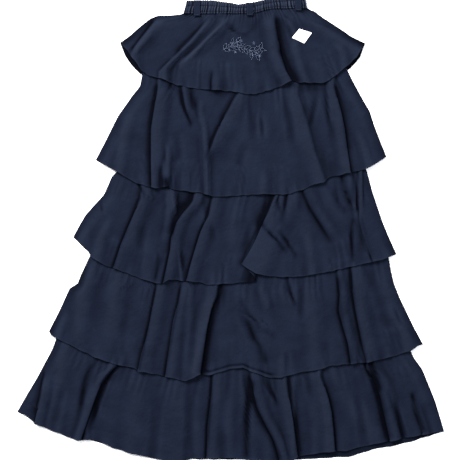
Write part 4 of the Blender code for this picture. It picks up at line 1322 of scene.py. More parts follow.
@dataclass(frozen=True)
class ClothFinish:
    """Matte cloth: two colours that washing mixes, a paler hem, painted shade in hollows and painted
    highlight on ridges, and its knit or weave.

    Attributes:
        name: the material's name.
        dark: colour in the darker clouds.
        light: colour in the paler clouds.
        hem: colour of the rubbed hem, and of the painted highlight on ridges.
        hem_share: how much of it shows.
        wale: width of a stitch in millimetres.
        course: height of a stitch in millimetres.
        relief: depth of the stitches in millimetres.
        roughness: lowest roughness; the paler clouds are rougher.
        specular: share of the usual reflection.
        sheen: weight of the fibres' sheen.
        crumple: depth of the soft crumples in millimetres.
        depth: share of its colour that a deep hollow loses to the painted shade.
        painted_shade_colour: colour that the painted shade goes towards there.
    """

    name: str
    dark: tuple
    light: tuple
    hem: tuple
    hem_share: float
    wale: float
    course: float
    relief: float
    roughness: float = 0.78
    specular: float = 0.02
    sheen: float = 0.004
    crumple: float = 1.8
    depth: float = 0.96
    painted_shade_colour: tuple = (0.0002, 0.0003, 0.0014)

    SHEEN_ROUGHNESS = 0.45
    SHEEN_TINT = (0.72, 0.8, 1.0, 1.0)
    ROUGHER = 0.12  # by how much the paler clouds are rougher
    STITCH_STRENGTH = 0.5

    def make(self, groups: dict) -> Material:
        """Builds the material.

        Args:
            groups: the shared node groups by name.

        Returns:
            The material.
        """
        material = bpy.data.materials.new(self.name)
        material.use_nodes = True
        shader = Shader(material.node_tree)
        surface = material.node_tree.nodes["Principled BSDF"]
        surface.inputs["Specular IOR Level"].default_value = self.specular
        surface.inputs["Sheen Weight"].default_value = self.sheen
        surface.inputs["Sheen Roughness"].default_value = self.SHEEN_ROUGHNESS
        surface.inputs["Sheen Tint"].default_value = self.SHEEN_TINT
        washed = shader.add("ShaderNodeGroup", node_tree=groups[WASH]).outputs[0]
        rubbed = shader.add("ShaderNodeGroup", node_tree=groups[EDGE]).outputs[0]
        stitch = {"Wale": self.wale, "Course": self.course}
        knit = shader.add("ShaderNodeGroup", stitch, node_tree=groups[KNIT])
        colour = shader.mix(washed, (*self.dark, 1.0), (*self.light, 1.0))
        worn = shader.math("MULTIPLY", rubbed, self.hem_share)
        colour = shader.mix(worn, colour, (*self.hem, 1.0))
        # Painted highlight on ridges in the hem colour, then painted shade in hollows towards the shade
        # colour
        painted_shading = shader.add("ShaderNodeGroup", node_tree=groups[PAINTED_SHADING])
        colour = shader.mix(painted_shading.outputs[1], colour, (*self.hem, 1.0))
        shade = shader.math("MULTIPLY", painted_shading.outputs[0], self.depth)
        shader.put(surface.inputs["Base Color"], shader.mix(shade, colour, (*self.painted_shade_colour, 1.0)))
        rough = shader.span(washed, (0.0, 1.0), (self.roughness, self.roughness + self.ROUGHER))
        shader.put(surface.inputs["Roughness"], rough)
        crumples = shader.add("ShaderNodeGroup", node_tree=groups[CRUMPLE]).outputs[0]
        soft = shader.add("ShaderNodeBump", {"Distance": self.crumple * MM, "Height": crumples})
        relief = {"Strength": self.STITCH_STRENGTH, "Distance": self.relief * MM, "Height": knit.outputs[0]}
        bump = shader.add("ShaderNodeBump", {**relief, "Normal": soft.outputs[0]})
        shader.put(surface.inputs["Normal"], bump.outputs[0])
        return material


@dataclass(frozen=True)
class ThreadFinish:
    """Embroidery or sewing thread: twisted plies with a soft shine.

    Attributes:
        name: the material's name.
        colour: the thread's colour.
        roughness: how matte it is.
        specular: share of the usual reflection.
        sheen: weight of the fibres' sheen.
    """

    name: str
    colour: tuple
    roughness: float = 0.5
    specular: float = 0.3
    sheen: float = 0.05

    CLOUDS = {"Cloud size": 120.0, "Flecks": 0.5}
    DARKER = 0.72  # share of its colour that the darker clouds keep
    PLIES = {"Scale": 900.0, "Distortion": 1.0}
    PLY_RELIEF = {"Strength": 0.4, "Distance": 0.1 * MM}

    def make(self, groups: dict) -> Material:
        """Builds the material.

        Args:
            groups: the shared node groups by name.

        Returns:
            The material.
        """
        material = bpy.data.materials.new(self.name)
        material.use_nodes = True
        shader = Shader(material.node_tree)
        surface = material.node_tree.nodes["Principled BSDF"]
        surface.inputs["Sheen Weight"].default_value = self.sheen
        surface.inputs["Specular IOR Level"].default_value = self.specular
        surface.inputs["Roughness"].default_value = self.roughness
        washed = shader.add("ShaderNodeGroup", self.CLOUDS, node_tree=groups[WASH])
        dark = tuple(self.DARKER * value for value in self.colour)
        colour = shader.mix(washed.outputs[0], (*dark, 1.0), (*self.colour, 1.0))
        shader.put(surface.inputs["Base Color"], colour)
        plies = shader.add("ShaderNodeTexWave", {"Vector": shader.place("Object"), **self.PLIES})
        bump = shader.add("ShaderNodeBump", {**self.PLY_RELIEF, "Height": plies.outputs[1]})
        shader.put(surface.inputs["Normal"], bump.outputs[0])
        return material


NAVY_KNIT = ClothFinish(
    "navy_knit", dark=(0.0035, 0.0052, 0.0112), light=(0.0048, 0.0070, 0.0147), hem=(0.0112, 0.0147, 0.0250),
    hem_share=0.5, wale=1.1, course=0.9, relief=0.12,
)
NAVY_SHIRRED = ClothFinish(
    "navy_shirred", dark=(0.0058, 0.0082, 0.0162), light=(0.0086, 0.0118, 0.0222),
    hem=(0.0200, 0.0250, 0.0390), hem_share=0.3, wale=1.0, course=0.8, relief=0.1,
)
NAVY_BINDING = ClothFinish(
    "navy_binding", dark=(0.0032, 0.0048, 0.0104), light=(0.0044, 0.0065, 0.0138),
    hem=(0.0088, 0.0120, 0.0212), hem_share=0.4, wale=0.8, course=0.8, relief=0.08,
)
WHITE_PATCH = ClothFinish(
    "white_patch", dark=(0.72, 0.73, 0.76), light=(0.84, 0.85, 0.87), hem=(0.6, 0.62, 0.68),
    hem_share=0.3, wale=0.55, course=0.55, relief=0.08, roughness=0.6, specular=0.3, sheen=0.2,
)
PALE_THREAD = ThreadFinish("pale_thread", (0.22, 0.28, 0.42))
GREY_THREAD = ThreadFinish("grey_thread", (0.06, 0.082, 0.15))
# The dark thread fills the leaves as painted shade among the pale threads
SHADE_THREAD = ThreadFinish("painted_shade_thread", (0.0012, 0.0022, 0.0075), roughness=0.8, specular=0.03, sheen=0.0)
NAVY_THREAD = ThreadFinish("navy_thread", (0.014, 0.018, 0.036), roughness=0.6)
PATCH_THREAD = ThreadFinish("patch_thread", (0.42, 0.45, 0.55), roughness=0.6)


def mesh_object(
    name: str, points: np.ndarray, faces: list, material: Material, uv: np.ndarray | None = None
) -> Object:
    """Makes a smooth mesh and puts it in the scene.

    Args:
        name: the piece's name.
        points: its points, in millimetres.
        faces: the numbers of each face's points.
        material: its finish.
        uv: each point's UV place, in metres of cloth.

    Returns:
        The new object.
    """
    mesh = bpy.data.meshes.new(name)
    mesh.from_pydata((points.reshape(-1, 3) * MM).tolist(), [], faces)
    if uv is not None:
        layer = mesh.uv_layers.new(name="cloth")
        corners = np.empty(len(mesh.loops), int)
        mesh.loops.foreach_get("vertex_index", corners)
        layer.uv.foreach_set("vector", uv.reshape(-1, 2)[corners].astype(np.float32).ravel())
    mesh.materials.append(material)
    mesh.shade_smooth()
    obj = bpy.data.objects.new(name, mesh)
    bpy.context.collection.objects.link(obj)
    return obj


def grid_object(
    name: str, points: np.ndarray, uv: np.ndarray, material: Material
) -> Object:
    """Makes an open sheet of quads.

    Args:
        name: the piece's name.
        points: rows and columns of points, in millimetres.
        uv: rows and columns of UV places, in metres of cloth.
        material: its finish.

    Returns:
        The new object.
    """
    index = np.arange(points[..., 0].size).reshape(points.shape[:2])
    faces = np.stack([index[:-1, :-1], index[1:, :-1], index[1:, 1:], index[:-1, 1:]], -1)
    return mesh_object(name, points, faces.reshape(-1, 4).tolist(), material, uv)


def point_values(obj: Object, name: str, values: np.ndarray) -> None:
    """Stores one number on each point of a mesh, for the shared node groups to read."""
    attribute = obj.data.attributes.new(name, "FLOAT", "POINT")
    attribute.data.foreach_set("value", values.astype(np.float32).ravel())


def thicken(
    obj: Object, thickness: float, weights: np.ndarray | None = None, thin: float = 1.0
) -> None:
    """Gives a sheet its thickness about its middle.

    Args:
        obj: the sheet.
        thickness: full thickness in millimetres.
        weights: share of the thickness at each point.
        thin: share of the thickness where the weight is zero.
    """
    wall = obj.modifiers.new("Cloth", "SOLIDIFY")
    wall.thickness = thickness * MM
    wall.offset = 0.0
    if weights is not None:
        group = obj.vertex_groups.new(name="thickness")
        for index, weight in enumerate(weights.ravel().tolist()):
            if weight > 0.0:
                group.add([index], weight, "REPLACE")
        wall.vertex_group = group.name
        wall.thickness_vertex_group = thin


def surface_of(obj: Object) -> BVHTree:
    """The object's shown surface, to lay other pieces on."""
    bpy.context.view_layer.update()
    return BVHTree.FromObject(obj, bpy.context.evaluated_depsgraph_get())


def top_of(surface: BVHTree, x: float, y: float) -> float:
    """Height of a surface's top.

    Args:
        surface: a tree of its faces.
        x: plan x.
        y: plan y.

    Returns:
        The height in millimetres, or 0 beside the surface.
    """
    high_above = Vector((x * MM, y * MM, 0.1))
    hit = surface.ray_cast(high_above, Vector((0.0, 0.0, -1.0)))[0]
    return 0.0 if hit is None else hit.z / MM


@dataclass
class Stitches:
    """Many short stitches of thread that lie on a surface, made as one piece.

    Attributes:
        name: the piece's name.
        width: width of a stitch in millimetres.
        height: how far a stitch stands out of the cloth, in millimetres.
        sink: how far its ends go into the cloth, in millimetres.
        lines: each stitch as two plan points.
    """

    name: str
    width: float = 0.7
    height: float = 0.45
    sink: float = 0.5
    lines: list = field(default_factory=list)

    # Along a stitch: share of its length, of its width and of its height
    PROFILE = ((0.0, 0.5, 0.0), (0.22, 1.0, 0.85), (0.5, 1.0, 1.0), (0.78, 1.0, 0.85), (1.0, 0.5, 0.0))
    THINNEST = 0.05

    def add(self, start: tuple, end: tuple) -> None:
        """Adds one stitch between two plan points."""
        self.lines.append((start, end))

    def build(self, surface: BVHTree, material: Material) -> None:
        """Makes all the stitches.

        Args:
            surface: the surface that they are sewn to.
            material: the thread's finish.
        """
        points, faces = [], []
        for (ax, ay), (bx, by) in self.lines:
            length = math.hypot(bx - ax, by - ay) or 1.0
            nx, ny = -(by - ay) / length * self.width / 2, (bx - ax) / length * self.width / 2
            first = len(points)
            for share, grown, lift in self.PROFILE:
                x, y = ax + share * (bx - ax), ay + share * (by - ay)
                base = top_of(surface, x, y)
                low, top = base - self.sink, base + self.height * lift - self.sink * (1.0 - lift)
                points.append((x + nx * grown, y + ny * grown, low))
                points.append((x, y, max(top, low + self.THINNEST)))
                points.append((x - nx * grown, y - ny * grown, low))
            last = len(points) - 3
            for a in range(first, last, 3):
                faces += [(a + i, a + j, a + 3 + j, a + 3 + i) for i, j in ((0, 1), (1, 2), (2, 0))]
            faces += [(first + 2, first + 1, first), (last, last + 1, last + 2)]
        obj = mesh_object(self.name, np.array(points), faces, material)
        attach(obj, BODY)


@dataclass
class TierPanel:
    """Front or back of one tier as a sheet of cloth with a rolled hem.

    Attributes:
        index: which tier, from 0 at the waist.
        side: which half.
        row_step: length of a row of faces, in millimetres.
        pitch: width of a column of faces, in millimetres.
        hem_rows: distances above the hem of the closest rows, in millimetres.
        hem_bead: thickness of the rolled hem, in millimetres.
        edge_wave: how far the hem waves in plan, in millimetres.
        seam_in: how far the first tier's upper edge goes into the waistband, in millimetres.
        shading: widths over which hollows count, and the depth that gets the full painted shade, in
            millimetres.
        palest_ridge: strongest painted highlight on a ridge, as a share below zero.
        back_painted_shade: share of painted shade on the back, which lies in the shade of the front.
    """

    index: int
    side: Side
    row_step: float = 5.0
    pitch: float = 4.6
    hem_rows: tuple = (7.0, 4.6, 3.2, 2.2, 1.2, 0.5, 0.0)
    hem_bead: float = 2.0
    edge_wave: float = 0.8
    seam_in: float = 3.0
    shading: tuple = ((5.0, 2.3), (18.0, 8.0))
    palest_ridge: float = -0.3
    back_painted_shade: float = 0.5

    WAVES, WAVE_SEED, WAVE_REACH = 26.0, 71, 9.0
    SEAM_REACH = 4.0
    BEAD_PLACE, BEAD_WIDTH, BEAD_LEAST = 1.3, 1.5, 0.05

    @property
    def name(self) -> str:
        """The panel's name, which is its node's."""
        return f"{TIER_CUTS[self.index].name}_{self.side.value}"

    def rows(self, shape: PanelShape) -> np.ndarray:
        """Places the rows, closer together at the hem.

        Args:
            shape: the panel's surface.

        Returns:
            Their shares down.
        """
        length = float(np.hypot(*np.diff(shape.plan(0.5, np.array([0.0, 1.0])), axis=0).T)[0])
        near = [1.0 - above / length for above in self.hem_rows]
        steps = max(8, round(near[0] * length / self.row_step))
        return np.array([*np.linspace(0.0, near[0], steps)[:-1], *near])

    def build(self, material: Material) -> Object:
        """Makes the panel, logs its size and puts it in place of its solid.

        Args:
            material: the knit's finish.

        Returns:
            The piece.
        """
        shape = PanelShape(self.index, self.side)
        downs = self.rows(shape)
        grid = PleatedGrid(shape, downs, self.pitch).columns()
        share, points = grid[..., 0], grid[..., 1:].copy()
        distance = np.broadcast_to((1.0 - downs)[:, None] * self.length(points), share.shape)
        edge = np.exp(-distance / self.WAVE_REACH)
        points[..., 1] += self.edge_wave * edge * waves(share, self.WAVES, self.WAVE_SEED + self.index)
        if self.index == 0 and self.side is Side.FRONT:
            points[..., 2] += Waistband.gathers(share, distance=downs[:, None] * self.length(points))
        if self.index == 0:
            points[..., 1] += self.seam_in * np.exp(-downs * self.length(points) / self.SEAM_REACH)[:, None]
        steps = np.linalg.norm(np.diff(points[len(points) // 2], axis=0), axis=1)
        across = np.concatenate([[0.0], np.cumsum(steps)]) * MM
        down = downs * self.length(points) * MM
        uv = np.stack(np.broadcast_arrays(across[None, :], down[:, None]), -1)
        obj = grid_object(self.name + "_cloth", points, uv, material)
        point_values(obj, "hem_distance", distance)
        # Painted shade and painted highlight for the material
        point_values(obj, "painted_shading", self.painted_shading_map(shape.cut, points, distance))
        bead = bell(distance - self.BEAD_PLACE, self.BEAD_WIDTH)
        thicken(obj, self.hem_bead, np.where(bead > self.BEAD_LEAST, bead, 0.0), CLOTH / self.hem_bead)
        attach(obj, BODY)
        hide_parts(self.name)
        self.declare(points)
        return obj

    def painted_shading_map(self, cut: TierCut, points: np.ndarray, distance: np.ndarray) -> np.ndarray:
        """Painted shade in the cloth's hollows and folds, below zero for painted highlight on ridges.

        Args:
            cut: the tier's cut.
            points: rows and columns of points, in millimetres.
            distance: their distances from the hem.

        Returns:
            A share from -1 to 1 for each point.
        """
        x, y = points[..., 0], points[..., 1]
        depth = sum(hollows(points, reach) / full for reach, full in self.shading)
        depth = np.maximum(depth, self.palest_ridge)
        if self.side is Side.FRONT:
            depth = depth + sum(shade.at(x, y) for shade in cut.painted_shades)
            depth = depth + sum(roll.at(x, distance) for roll in cut.rolls)
        else:
            # The back lies in the front's shade: painted shade all over it
            depth = depth + self.back_painted_shade
        return np.clip(depth, -1.0, 1.0)

    @staticmethod
    def length(points: np.ndarray) -> float:
        """Length in millimetres of the panel down its middle column."""
        middle = points[:, points.shape[1] // 2]
        return float(np.linalg.norm(np.diff(middle, axis=0), axis=1).sum())

    def declare(self, points: np.ndarray) -> None:
        """Logs the width at the hem and the length of the panel's flared cut.

        Args:
            points: its rows and columns of points, in millimetres.
        """
        widths = [np.linalg.norm(np.diff(row, axis=0), axis=1).sum() * MM for row in (points[0], points[-1])]
        length = self.length(points) * MM
        under = [] if self.side is Side.BACK else [f"{TIER_CUTS[self.index].name}_back"]
        log.info("%s: %.0f mm wide at the hem and %.0f mm long", self.name, 1000 * max(widths), 1000 * length)


@dataclass
class Waistband:
    """Shirred casing over two rows of elastic, with its lines of stitches.

    Attributes:
        wall: thickness at the lines of stitches, in millimetres.
        back_wall: thickness of the back half, in millimetres.
        floor: height of the underside of the back half, on its loops.
        ribs: number of puckers across the band.
        rib_height: height of a pucker, in millimetres.
        fullness: how far each channel swells, in millimetres.
        columns: columns of points across the band.
        section: shares down of its rows, closer together at edges and stitch lines.
    """

    LOWER = (
        (-94, 424), (-60, 423), (-30, 423), (0, 423.5), (30, 423.5), (50, 425), (66, 430), (84, 433),
        (152, 434),
    )
    UPPER = (
        (-87, 450), (-60, 451), (-34, 451), (-16, 448), (2, 446), (14, 443), (44, 447), (80, 455),
        (146, 465),
    )
    STITCH_LINES = (0.42, 0.85)
    RIBS = 44
    SEED = 5
    # Gathers of the first tier: height and reach of the short ones, then height, reach and number of
    # the long ones in shares of the puckers
    GATHER_HEIGHT, GATHER_REACH = 1.5, 15.0
    LONG_GATHER_HEIGHT, LONG_GATHER_REACH, LONG_GATHERS = 0.4, 46.0, 0.45
    # Puckers: how far they lean and how often, the upper channel's own ones, and how the two mix
    LEAN, LEAN_DOWN, LEAN_ACROSS = 0.0016, 9.0, 31.0
    UPPER_RIBS, UPPER_MIX, LOWER_MIX = 1.35, (0.72, 0.4), 0.95
    RIB_SHARES = (0.28, 0.72)  # of a pucker's height at the stitch lines, and what it gains between them
    # Painted shade between the puckers and along the stitch lines, and painted highlight on the puckers' tops
    PUCKER_SHADE, LEAST_PUCKER = 2.6, 0.2
    SEAM_SHADE, SEAM_WIDTH = 0.5, 0.035
    EDGE_SHARE = 0.05  # of the band's depth, over which its edges are rounded
    EDGE_WALL = 0.25
    EDGE_WAVE, EDGE_WAVE_REACH = 0.8, 0.06
    HALVES_GAP = 0.3
    BACK_RIB, BACK_DIP, BACK_EDGE = 0.35, 0.6, 0.9
    STITCH_START, STITCH_END, STITCH_PITCH, STITCH_LENGTH = 0.006, 0.99, 0.0105, 0.0068
    FULL_WIDTH = 2.2  # width of the gathered cloth in shares of the band's
    FAR_FROM_HEM = 99.0

    wall: float = 2.2
    back_wall: float = 3.4
    floor: float = 1.5
    rib_height: float = 2.8
    fullness: float = 0.9
    columns: int = 420
    section: tuple = (
        0.0, 0.015, 0.04, 0.08, 0.13, 0.18, 0.24, 0.3, 0.35, 0.385, 0.405, 0.42, 0.435, 0.455, 0.49, 0.54,
        0.6, 0.67, 0.73, 0.78, 0.815, 0.835, 0.85, 0.865, 0.885, 0.92, 0.96, 0.985, 1.0,
    )

    @property
    def middle(self) -> float:
        """Height of the underside of the front half."""
        return self.floor + self.back_wall + self.HALVES_GAP

    @classmethod
    def gathers(cls, share: np.ndarray, distance: np.ndarray) -> np.ndarray:
        """Height of the gathers that run from the band down over the first tier.

        Args:
            share: shares across the tier.
            distance: distances below the band, in millimetres.

        Returns:
            The height in millimetres for each point.
        """
        fine = cls.GATHER_HEIGHT * waves(share, cls.RIBS, cls.SEED) * np.exp(-distance / cls.GATHER_REACH)
        coarse = waves(share, cls.RIBS * cls.LONG_GATHERS, cls.SEED + 1)
        start = smooth(distance / cls.GATHER_REACH)
        return fine + cls.LONG_GATHER_HEIGHT * coarse * start * np.exp(-distance / cls.LONG_GATHER_REACH)

    @classmethod
    def plan(cls, across: np.ndarray, down: np.ndarray) -> tuple:
        """Plan points of the band.

        Args:
            across: shares across it.
            down: shares down from its top edge.

        Returns:
            Their x and their y.
        """
        ends = []
        for line in (cls.UPPER, cls.LOWER):
            x = line[0][0] + across * (line[-1][0] - line[0][0])
            ends.append((x, along_x(line, x)))
        (ux, uy), (lx, ly) = ends
        return ux + (lx - ux) * down, uy + (ly - uy) * down

    def swell(self, down: np.ndarray) -> np.ndarray:
        """How full the casing is: flat at its stitch lines and edges, and round between them.

        Args:
            down: shares down from its top edge.

        Returns:
            A share from 0 to 1 for each of them.
        """
        stops = (0.0, *self.STITCH_LINES, 1.0)
        total = np.zeros(np.shape(down))
        for above, below in zip(stops, stops[1:]):
            inside = (down >= above) & (down <= below)
            total = np.where(inside, np.sin(math.pi * (down - above) / (below - above)) ** 0.7, total)
        return total

    def rounding(self, down: np.ndarray) -> np.ndarray:
        """How thick the band is at its two edges, in shares of its full thickness."""
        edge = np.minimum(down, 1.0 - down)
        return 1.0 - np.clip(1.0 - edge / self.EDGE_SHARE, 0.0, 1.0) ** 2

    def front_height(self, across: np.ndarray, down: np.ndarray) -> np.ndarray:
        """Height of the front's outer face over the table.

        Args:
            across: shares across the band.
            down: shares down from its top edge.

        Returns:
            The height in millimetres for each point.
        """
        swell = self.swell(down)
        phase = across + self.LEAN * np.sin(self.LEAN_DOWN * down + self.LEAN_ACROSS * across)
        ribs = waves(phase, self.RIBS, self.SEED)
        upper = waves(across, self.RIBS * self.UPPER_RIBS, self.SEED + 7)
        own, other = self.UPPER_MIX
        mixed = np.where(down < self.STITCH_LINES[0], own * ribs + other * upper, self.LOWER_MIX * ribs)
        least, gain = self.RIB_SHARES
        rib = self.rib_height * (least + gain * swell) * (0.5 + 0.5 * mixed)
        full = self.wall - self.EDGE_WALL + rib + self.fullness * swell
        return self.middle + self.EDGE_WALL + full * self.rounding(down)

    def back_height(self, across: np.ndarray, down: np.ndarray) -> np.ndarray:
        """Height of the back's inner face over the table.

        Args:
            across: shares across the band.
            down: shares down from its top edge.

        Returns:
            The height in millimetres for each point.
        """
        rib = self.BACK_RIB * waves(across, self.RIBS, self.SEED + 3) * self.swell(down)
        lower_edge = (self.back_wall - self.BACK_EDGE) * (1 - self.rounding(down))
        return self.middle - self.BACK_DIP - lower_edge + rib - self.HALVES_GAP

    def painted_pucker_shade(self, outer: np.ndarray, rows: int) -> np.ndarray:
        """Painted shade between the band's puckers and along its stitch lines, below zero painted highlight
        on the tops.

        Args:
            outer: rows and columns of points of its outer face, in millimetres.
            rows: rows of the whole tube, whose underside stays plain.

        Returns:
            A share from -1 to 1 for each point of the tube.
        """
        high, low = outer[..., 2].max(axis=1, keepdims=True), outer[..., 2].min(axis=1, keepdims=True)
        pucker = (outer[..., 2] - low) / np.maximum(high - low, self.LEAST_PUCKER)
        seams = sum(bell(np.array(self.section) - line, self.SEAM_WIDTH) for line in self.STITCH_LINES)
        depth = self.PUCKER_SHADE * (0.5 - pucker) + self.SEAM_SHADE * seams[:, None]
        whole = np.zeros((rows, outer.shape[1]))
        whole[: len(outer)] = np.clip(depth, -1.0, 1.0)
        return whole

    def half(self, name: str, is_front: bool, material: Material) -> Object:
        """Makes one half of the band as a closed, flattened tube.

        Args:
            name: the half's node.
            is_front: whether it is the puckered front.
            material: its finish.

        Returns:
            The piece.
        """
        across = np.linspace(0.0, 1.0, self.columns)[None, :]
        down = np.array(self.section)[:, None]
        x, y = self.plan(across, down)
        if is_front:
            reach = self.EDGE_WAVE * np.exp(-down / self.EDGE_WAVE_REACH)
            y = y + reach * waves(across, self.RIBS, self.SEED)
            top, low = self.front_height(across, down), self.middle
        else:
            top, low = self.back_height(across, down), self.floor
        x, y, top = np.broadcast_arrays(x, y, top)
        outer = np.stack([x, y, top], -1)
        under = np.stack([x, y, np.full(x.shape, low)], -1)[::-1][:: len(self.section) // 4]
        points = np.concatenate([outer, under])
        index = np.arange(points[..., 0].size).reshape(points.shape[:2])
        below = np.roll(index, -1, axis=0)
        around = np.stack([index[:, :-1], below[:, :-1], below[:, 1:], index[:, 1:]], -1)
        faces = around.reshape(-1, 4).tolist() + [index[:, 0].tolist(), index[::-1, -1].tolist()]
        uv = np.stack([points[..., 0] * self.FULL_WIDTH, -points[..., 1]], -1) * MM
        obj = mesh_object(name + "_cloth", points, faces, material, uv)
        point_values(obj, "hem_distance", np.full(index.shape, self.FAR_FROM_HEM))
        if is_front:
            point_values(obj, "painted_shading", self.painted_pucker_shade(outer, len(points)))
        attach(obj, BODY)
        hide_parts(name)
        return obj

    def build(self, cloth: Material, thread: Material) -> None:
        """Makes both halves and the stitches that part the channels.

        Args:
            cloth: the casing's finish.
            thread: the stitches' finish.
        """
        front = self.half("waistband_front", True, cloth)
        self.half("waistband_back", False, cloth)
        stitches = Stitches("waistband_stitches", width=0.55, height=0.3, sink=0.3)
        for down in self.STITCH_LINES:
            for start in np.arange(self.STITCH_START, self.STITCH_END, self.STITCH_PITCH):
                ends = (self.plan(np.array(at), np.array(down)) for at in (start, start + self.STITCH_LENGTH))
                stitches.add(*[(float(x), float(y)) for x, y in ends])
        stitches.build(surface_of(front), thread)
        log.info("waistband: %d puckers and %d stitches", self.RIBS, len(stitches.lines))


@dataclass
class BeltLoops:
    """Folded strips sewn over the waistband at three places, in front and behind.

    Attributes:
        centres: where they are across the band, in millimetres.
        width: width of a strip.
        thickness: its thickness, folded.
        overhang: how far it reaches below the band.
        inset: how far its top lies below the band's top edge.
        back_shorter: how much shorter the back ones are.
        edge: distance of the stitches from its sides.
        rows: rows of points.
        columns: columns of points.
    """

    centres: tuple = (-67.0, 38.0, 134.0)
    width: float = 14.0
    thickness: float = 1.2
    overhang: float = 4.0
    inset: float = 0.5
    back_shorter: float = 6.0
    edge: float = 1.9
    rows: int = 25
    columns: int = 11

    NARROWER = 0.05  # share by which its middle is narrower
    SUNK, ARCH, CROWN = 0.9, 1.3, 0.35  # how far a front loop sinks in, and rises along and across
    SEAM_DIP, SEAM_PLACE, SEAM_WIDTH = 0.25, 0.73, 0.09
    # Painted shade towards a strip's two sides
    EDGE_SHADE = 0.9
    # Stitches: pitch and length down the sides, their distance from the lower and the upper end, and
    # the bars' distance from these ends, half width, pitch, slant and half height
    STITCH_PITCH, STITCH_LENGTH, STITCH_ENDS = 2.4, 1.6, (2.5, 3.5)
    BAR_ENDS, BAR_HALF, BAR_PITCH, BAR_SLANT, BAR_HEIGHT = (1.8, 2.2), 4.6, 1.1, 0.3, 0.9

    def build(self, band: Waistband, cloth: Material, thread: Material) -> None:
        """Makes every loop and the stitches of the front ones.

        Args:
            band: the waistband that they lie on.
            cloth: the strips' finish.
            thread: the stitches' finish.
        """
        for number, centre in enumerate(self.centres, start=1):
            top = float(along_x(Waistband.UPPER, centre)) - self.inset
            low = float(along_x(Waistband.LOWER, centre)) - self.overhang
            peak = band.middle + band.wall + band.rib_height + band.fullness
            front = self.strip(f"belt_loop_front_{number}", centre, top, low, peak, cloth)
            self.sewn(f"belt_loop_stitches_{number}", centre, top, low, front, thread)
            self.strip(f"belt_loop_back_{number}", centre, top, low + self.back_shorter, None, cloth)
        log.info("belt loops: %d in front and as many behind", len(self.centres))

    def strip(
        self, node: str, centre: float, top: float, low: float, peak: float | None, material: Material
    ) -> Object:
        """Makes one strip.

        Args:
            node: the loop's node.
            centre: its place across the band.
            top: its upper end in plan.
            low: its lower end in plan.
            peak: height of the band under a front loop, or None for one that lies on the table.
            material: its finish.

        Returns:
            The piece.
        """
        v = np.linspace(0.0, 1.0, self.rows)[:, None]
        u = np.linspace(-1.0, 1.0, self.columns)[None, :]
        x = centre + u * self.width / 2 * (1.0 - self.NARROWER * np.sin(math.pi * v))
        x, y = np.broadcast_arrays(x, top + (low - top) * v)
        if peak is None:
            z = np.full(x.shape, self.thickness / 2)
        else:
            arch = 1.0 - np.clip(np.abs(2 * v - 1.0), 0.0, 1.0) ** 5
            dip = self.SEAM_DIP * bell(np.abs(u) - self.SEAM_PLACE, self.SEAM_WIDTH)
            z = peak - self.SUNK + self.ARCH * arch + self.CROWN * (1.0 - u**2) - dip
        points = np.stack(np.broadcast_arrays(x, y, z), -1)
        uv = np.stack(np.broadcast_arrays(x, y), -1) * MM
        obj = grid_object(node + "_strip", points, uv, material)
        distance = np.broadcast_to((1.0 - np.abs(u)) * self.width / 2, x.shape)
        point_values(obj, "hem_distance", distance)
        point_values(obj, "painted_shading", np.broadcast_to(self.EDGE_SHADE * np.abs(u) ** 8, x.shape))
        thicken(obj, self.thickness)
        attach(obj, BODY)
        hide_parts(node)
        return obj

    def sewn(
        self, name: str, centre: float, top: float, low: float, strip: Object,
        thread: Material,
    ) -> None:
        """Sews a line down each side of a strip and a bar across each end.

        Args:
            name: the stitches' name.
            centre: the strip's place across the band.
            top: its upper end in plan.
            low: its lower end in plan.
            strip: the strip.
            thread: the stitches' finish.
        """
        stitches = Stitches(name, width=0.5, height=0.28, sink=0.25)
        for side in (-1.0, 1.0):
            x = centre + side * (self.width / 2 - self.edge)
            for y in np.arange(low + self.STITCH_ENDS[0], top - self.STITCH_ENDS[1], self.STITCH_PITCH):
                stitches.add((x, float(y)), (x, float(y) + self.STITCH_LENGTH))
        for end in (low + self.BAR_ENDS[0], top - self.BAR_ENDS[1]):
            for x in np.arange(centre - self.BAR_HALF, centre + self.BAR_HALF, self.BAR_PITCH):
                foot, head = end - self.BAR_HEIGHT, end + self.BAR_HEIGHT
                stitches.add((float(x), foot), (float(x) + self.BAR_SLANT, head))
        stitches.build(surface_of(strip), thread)


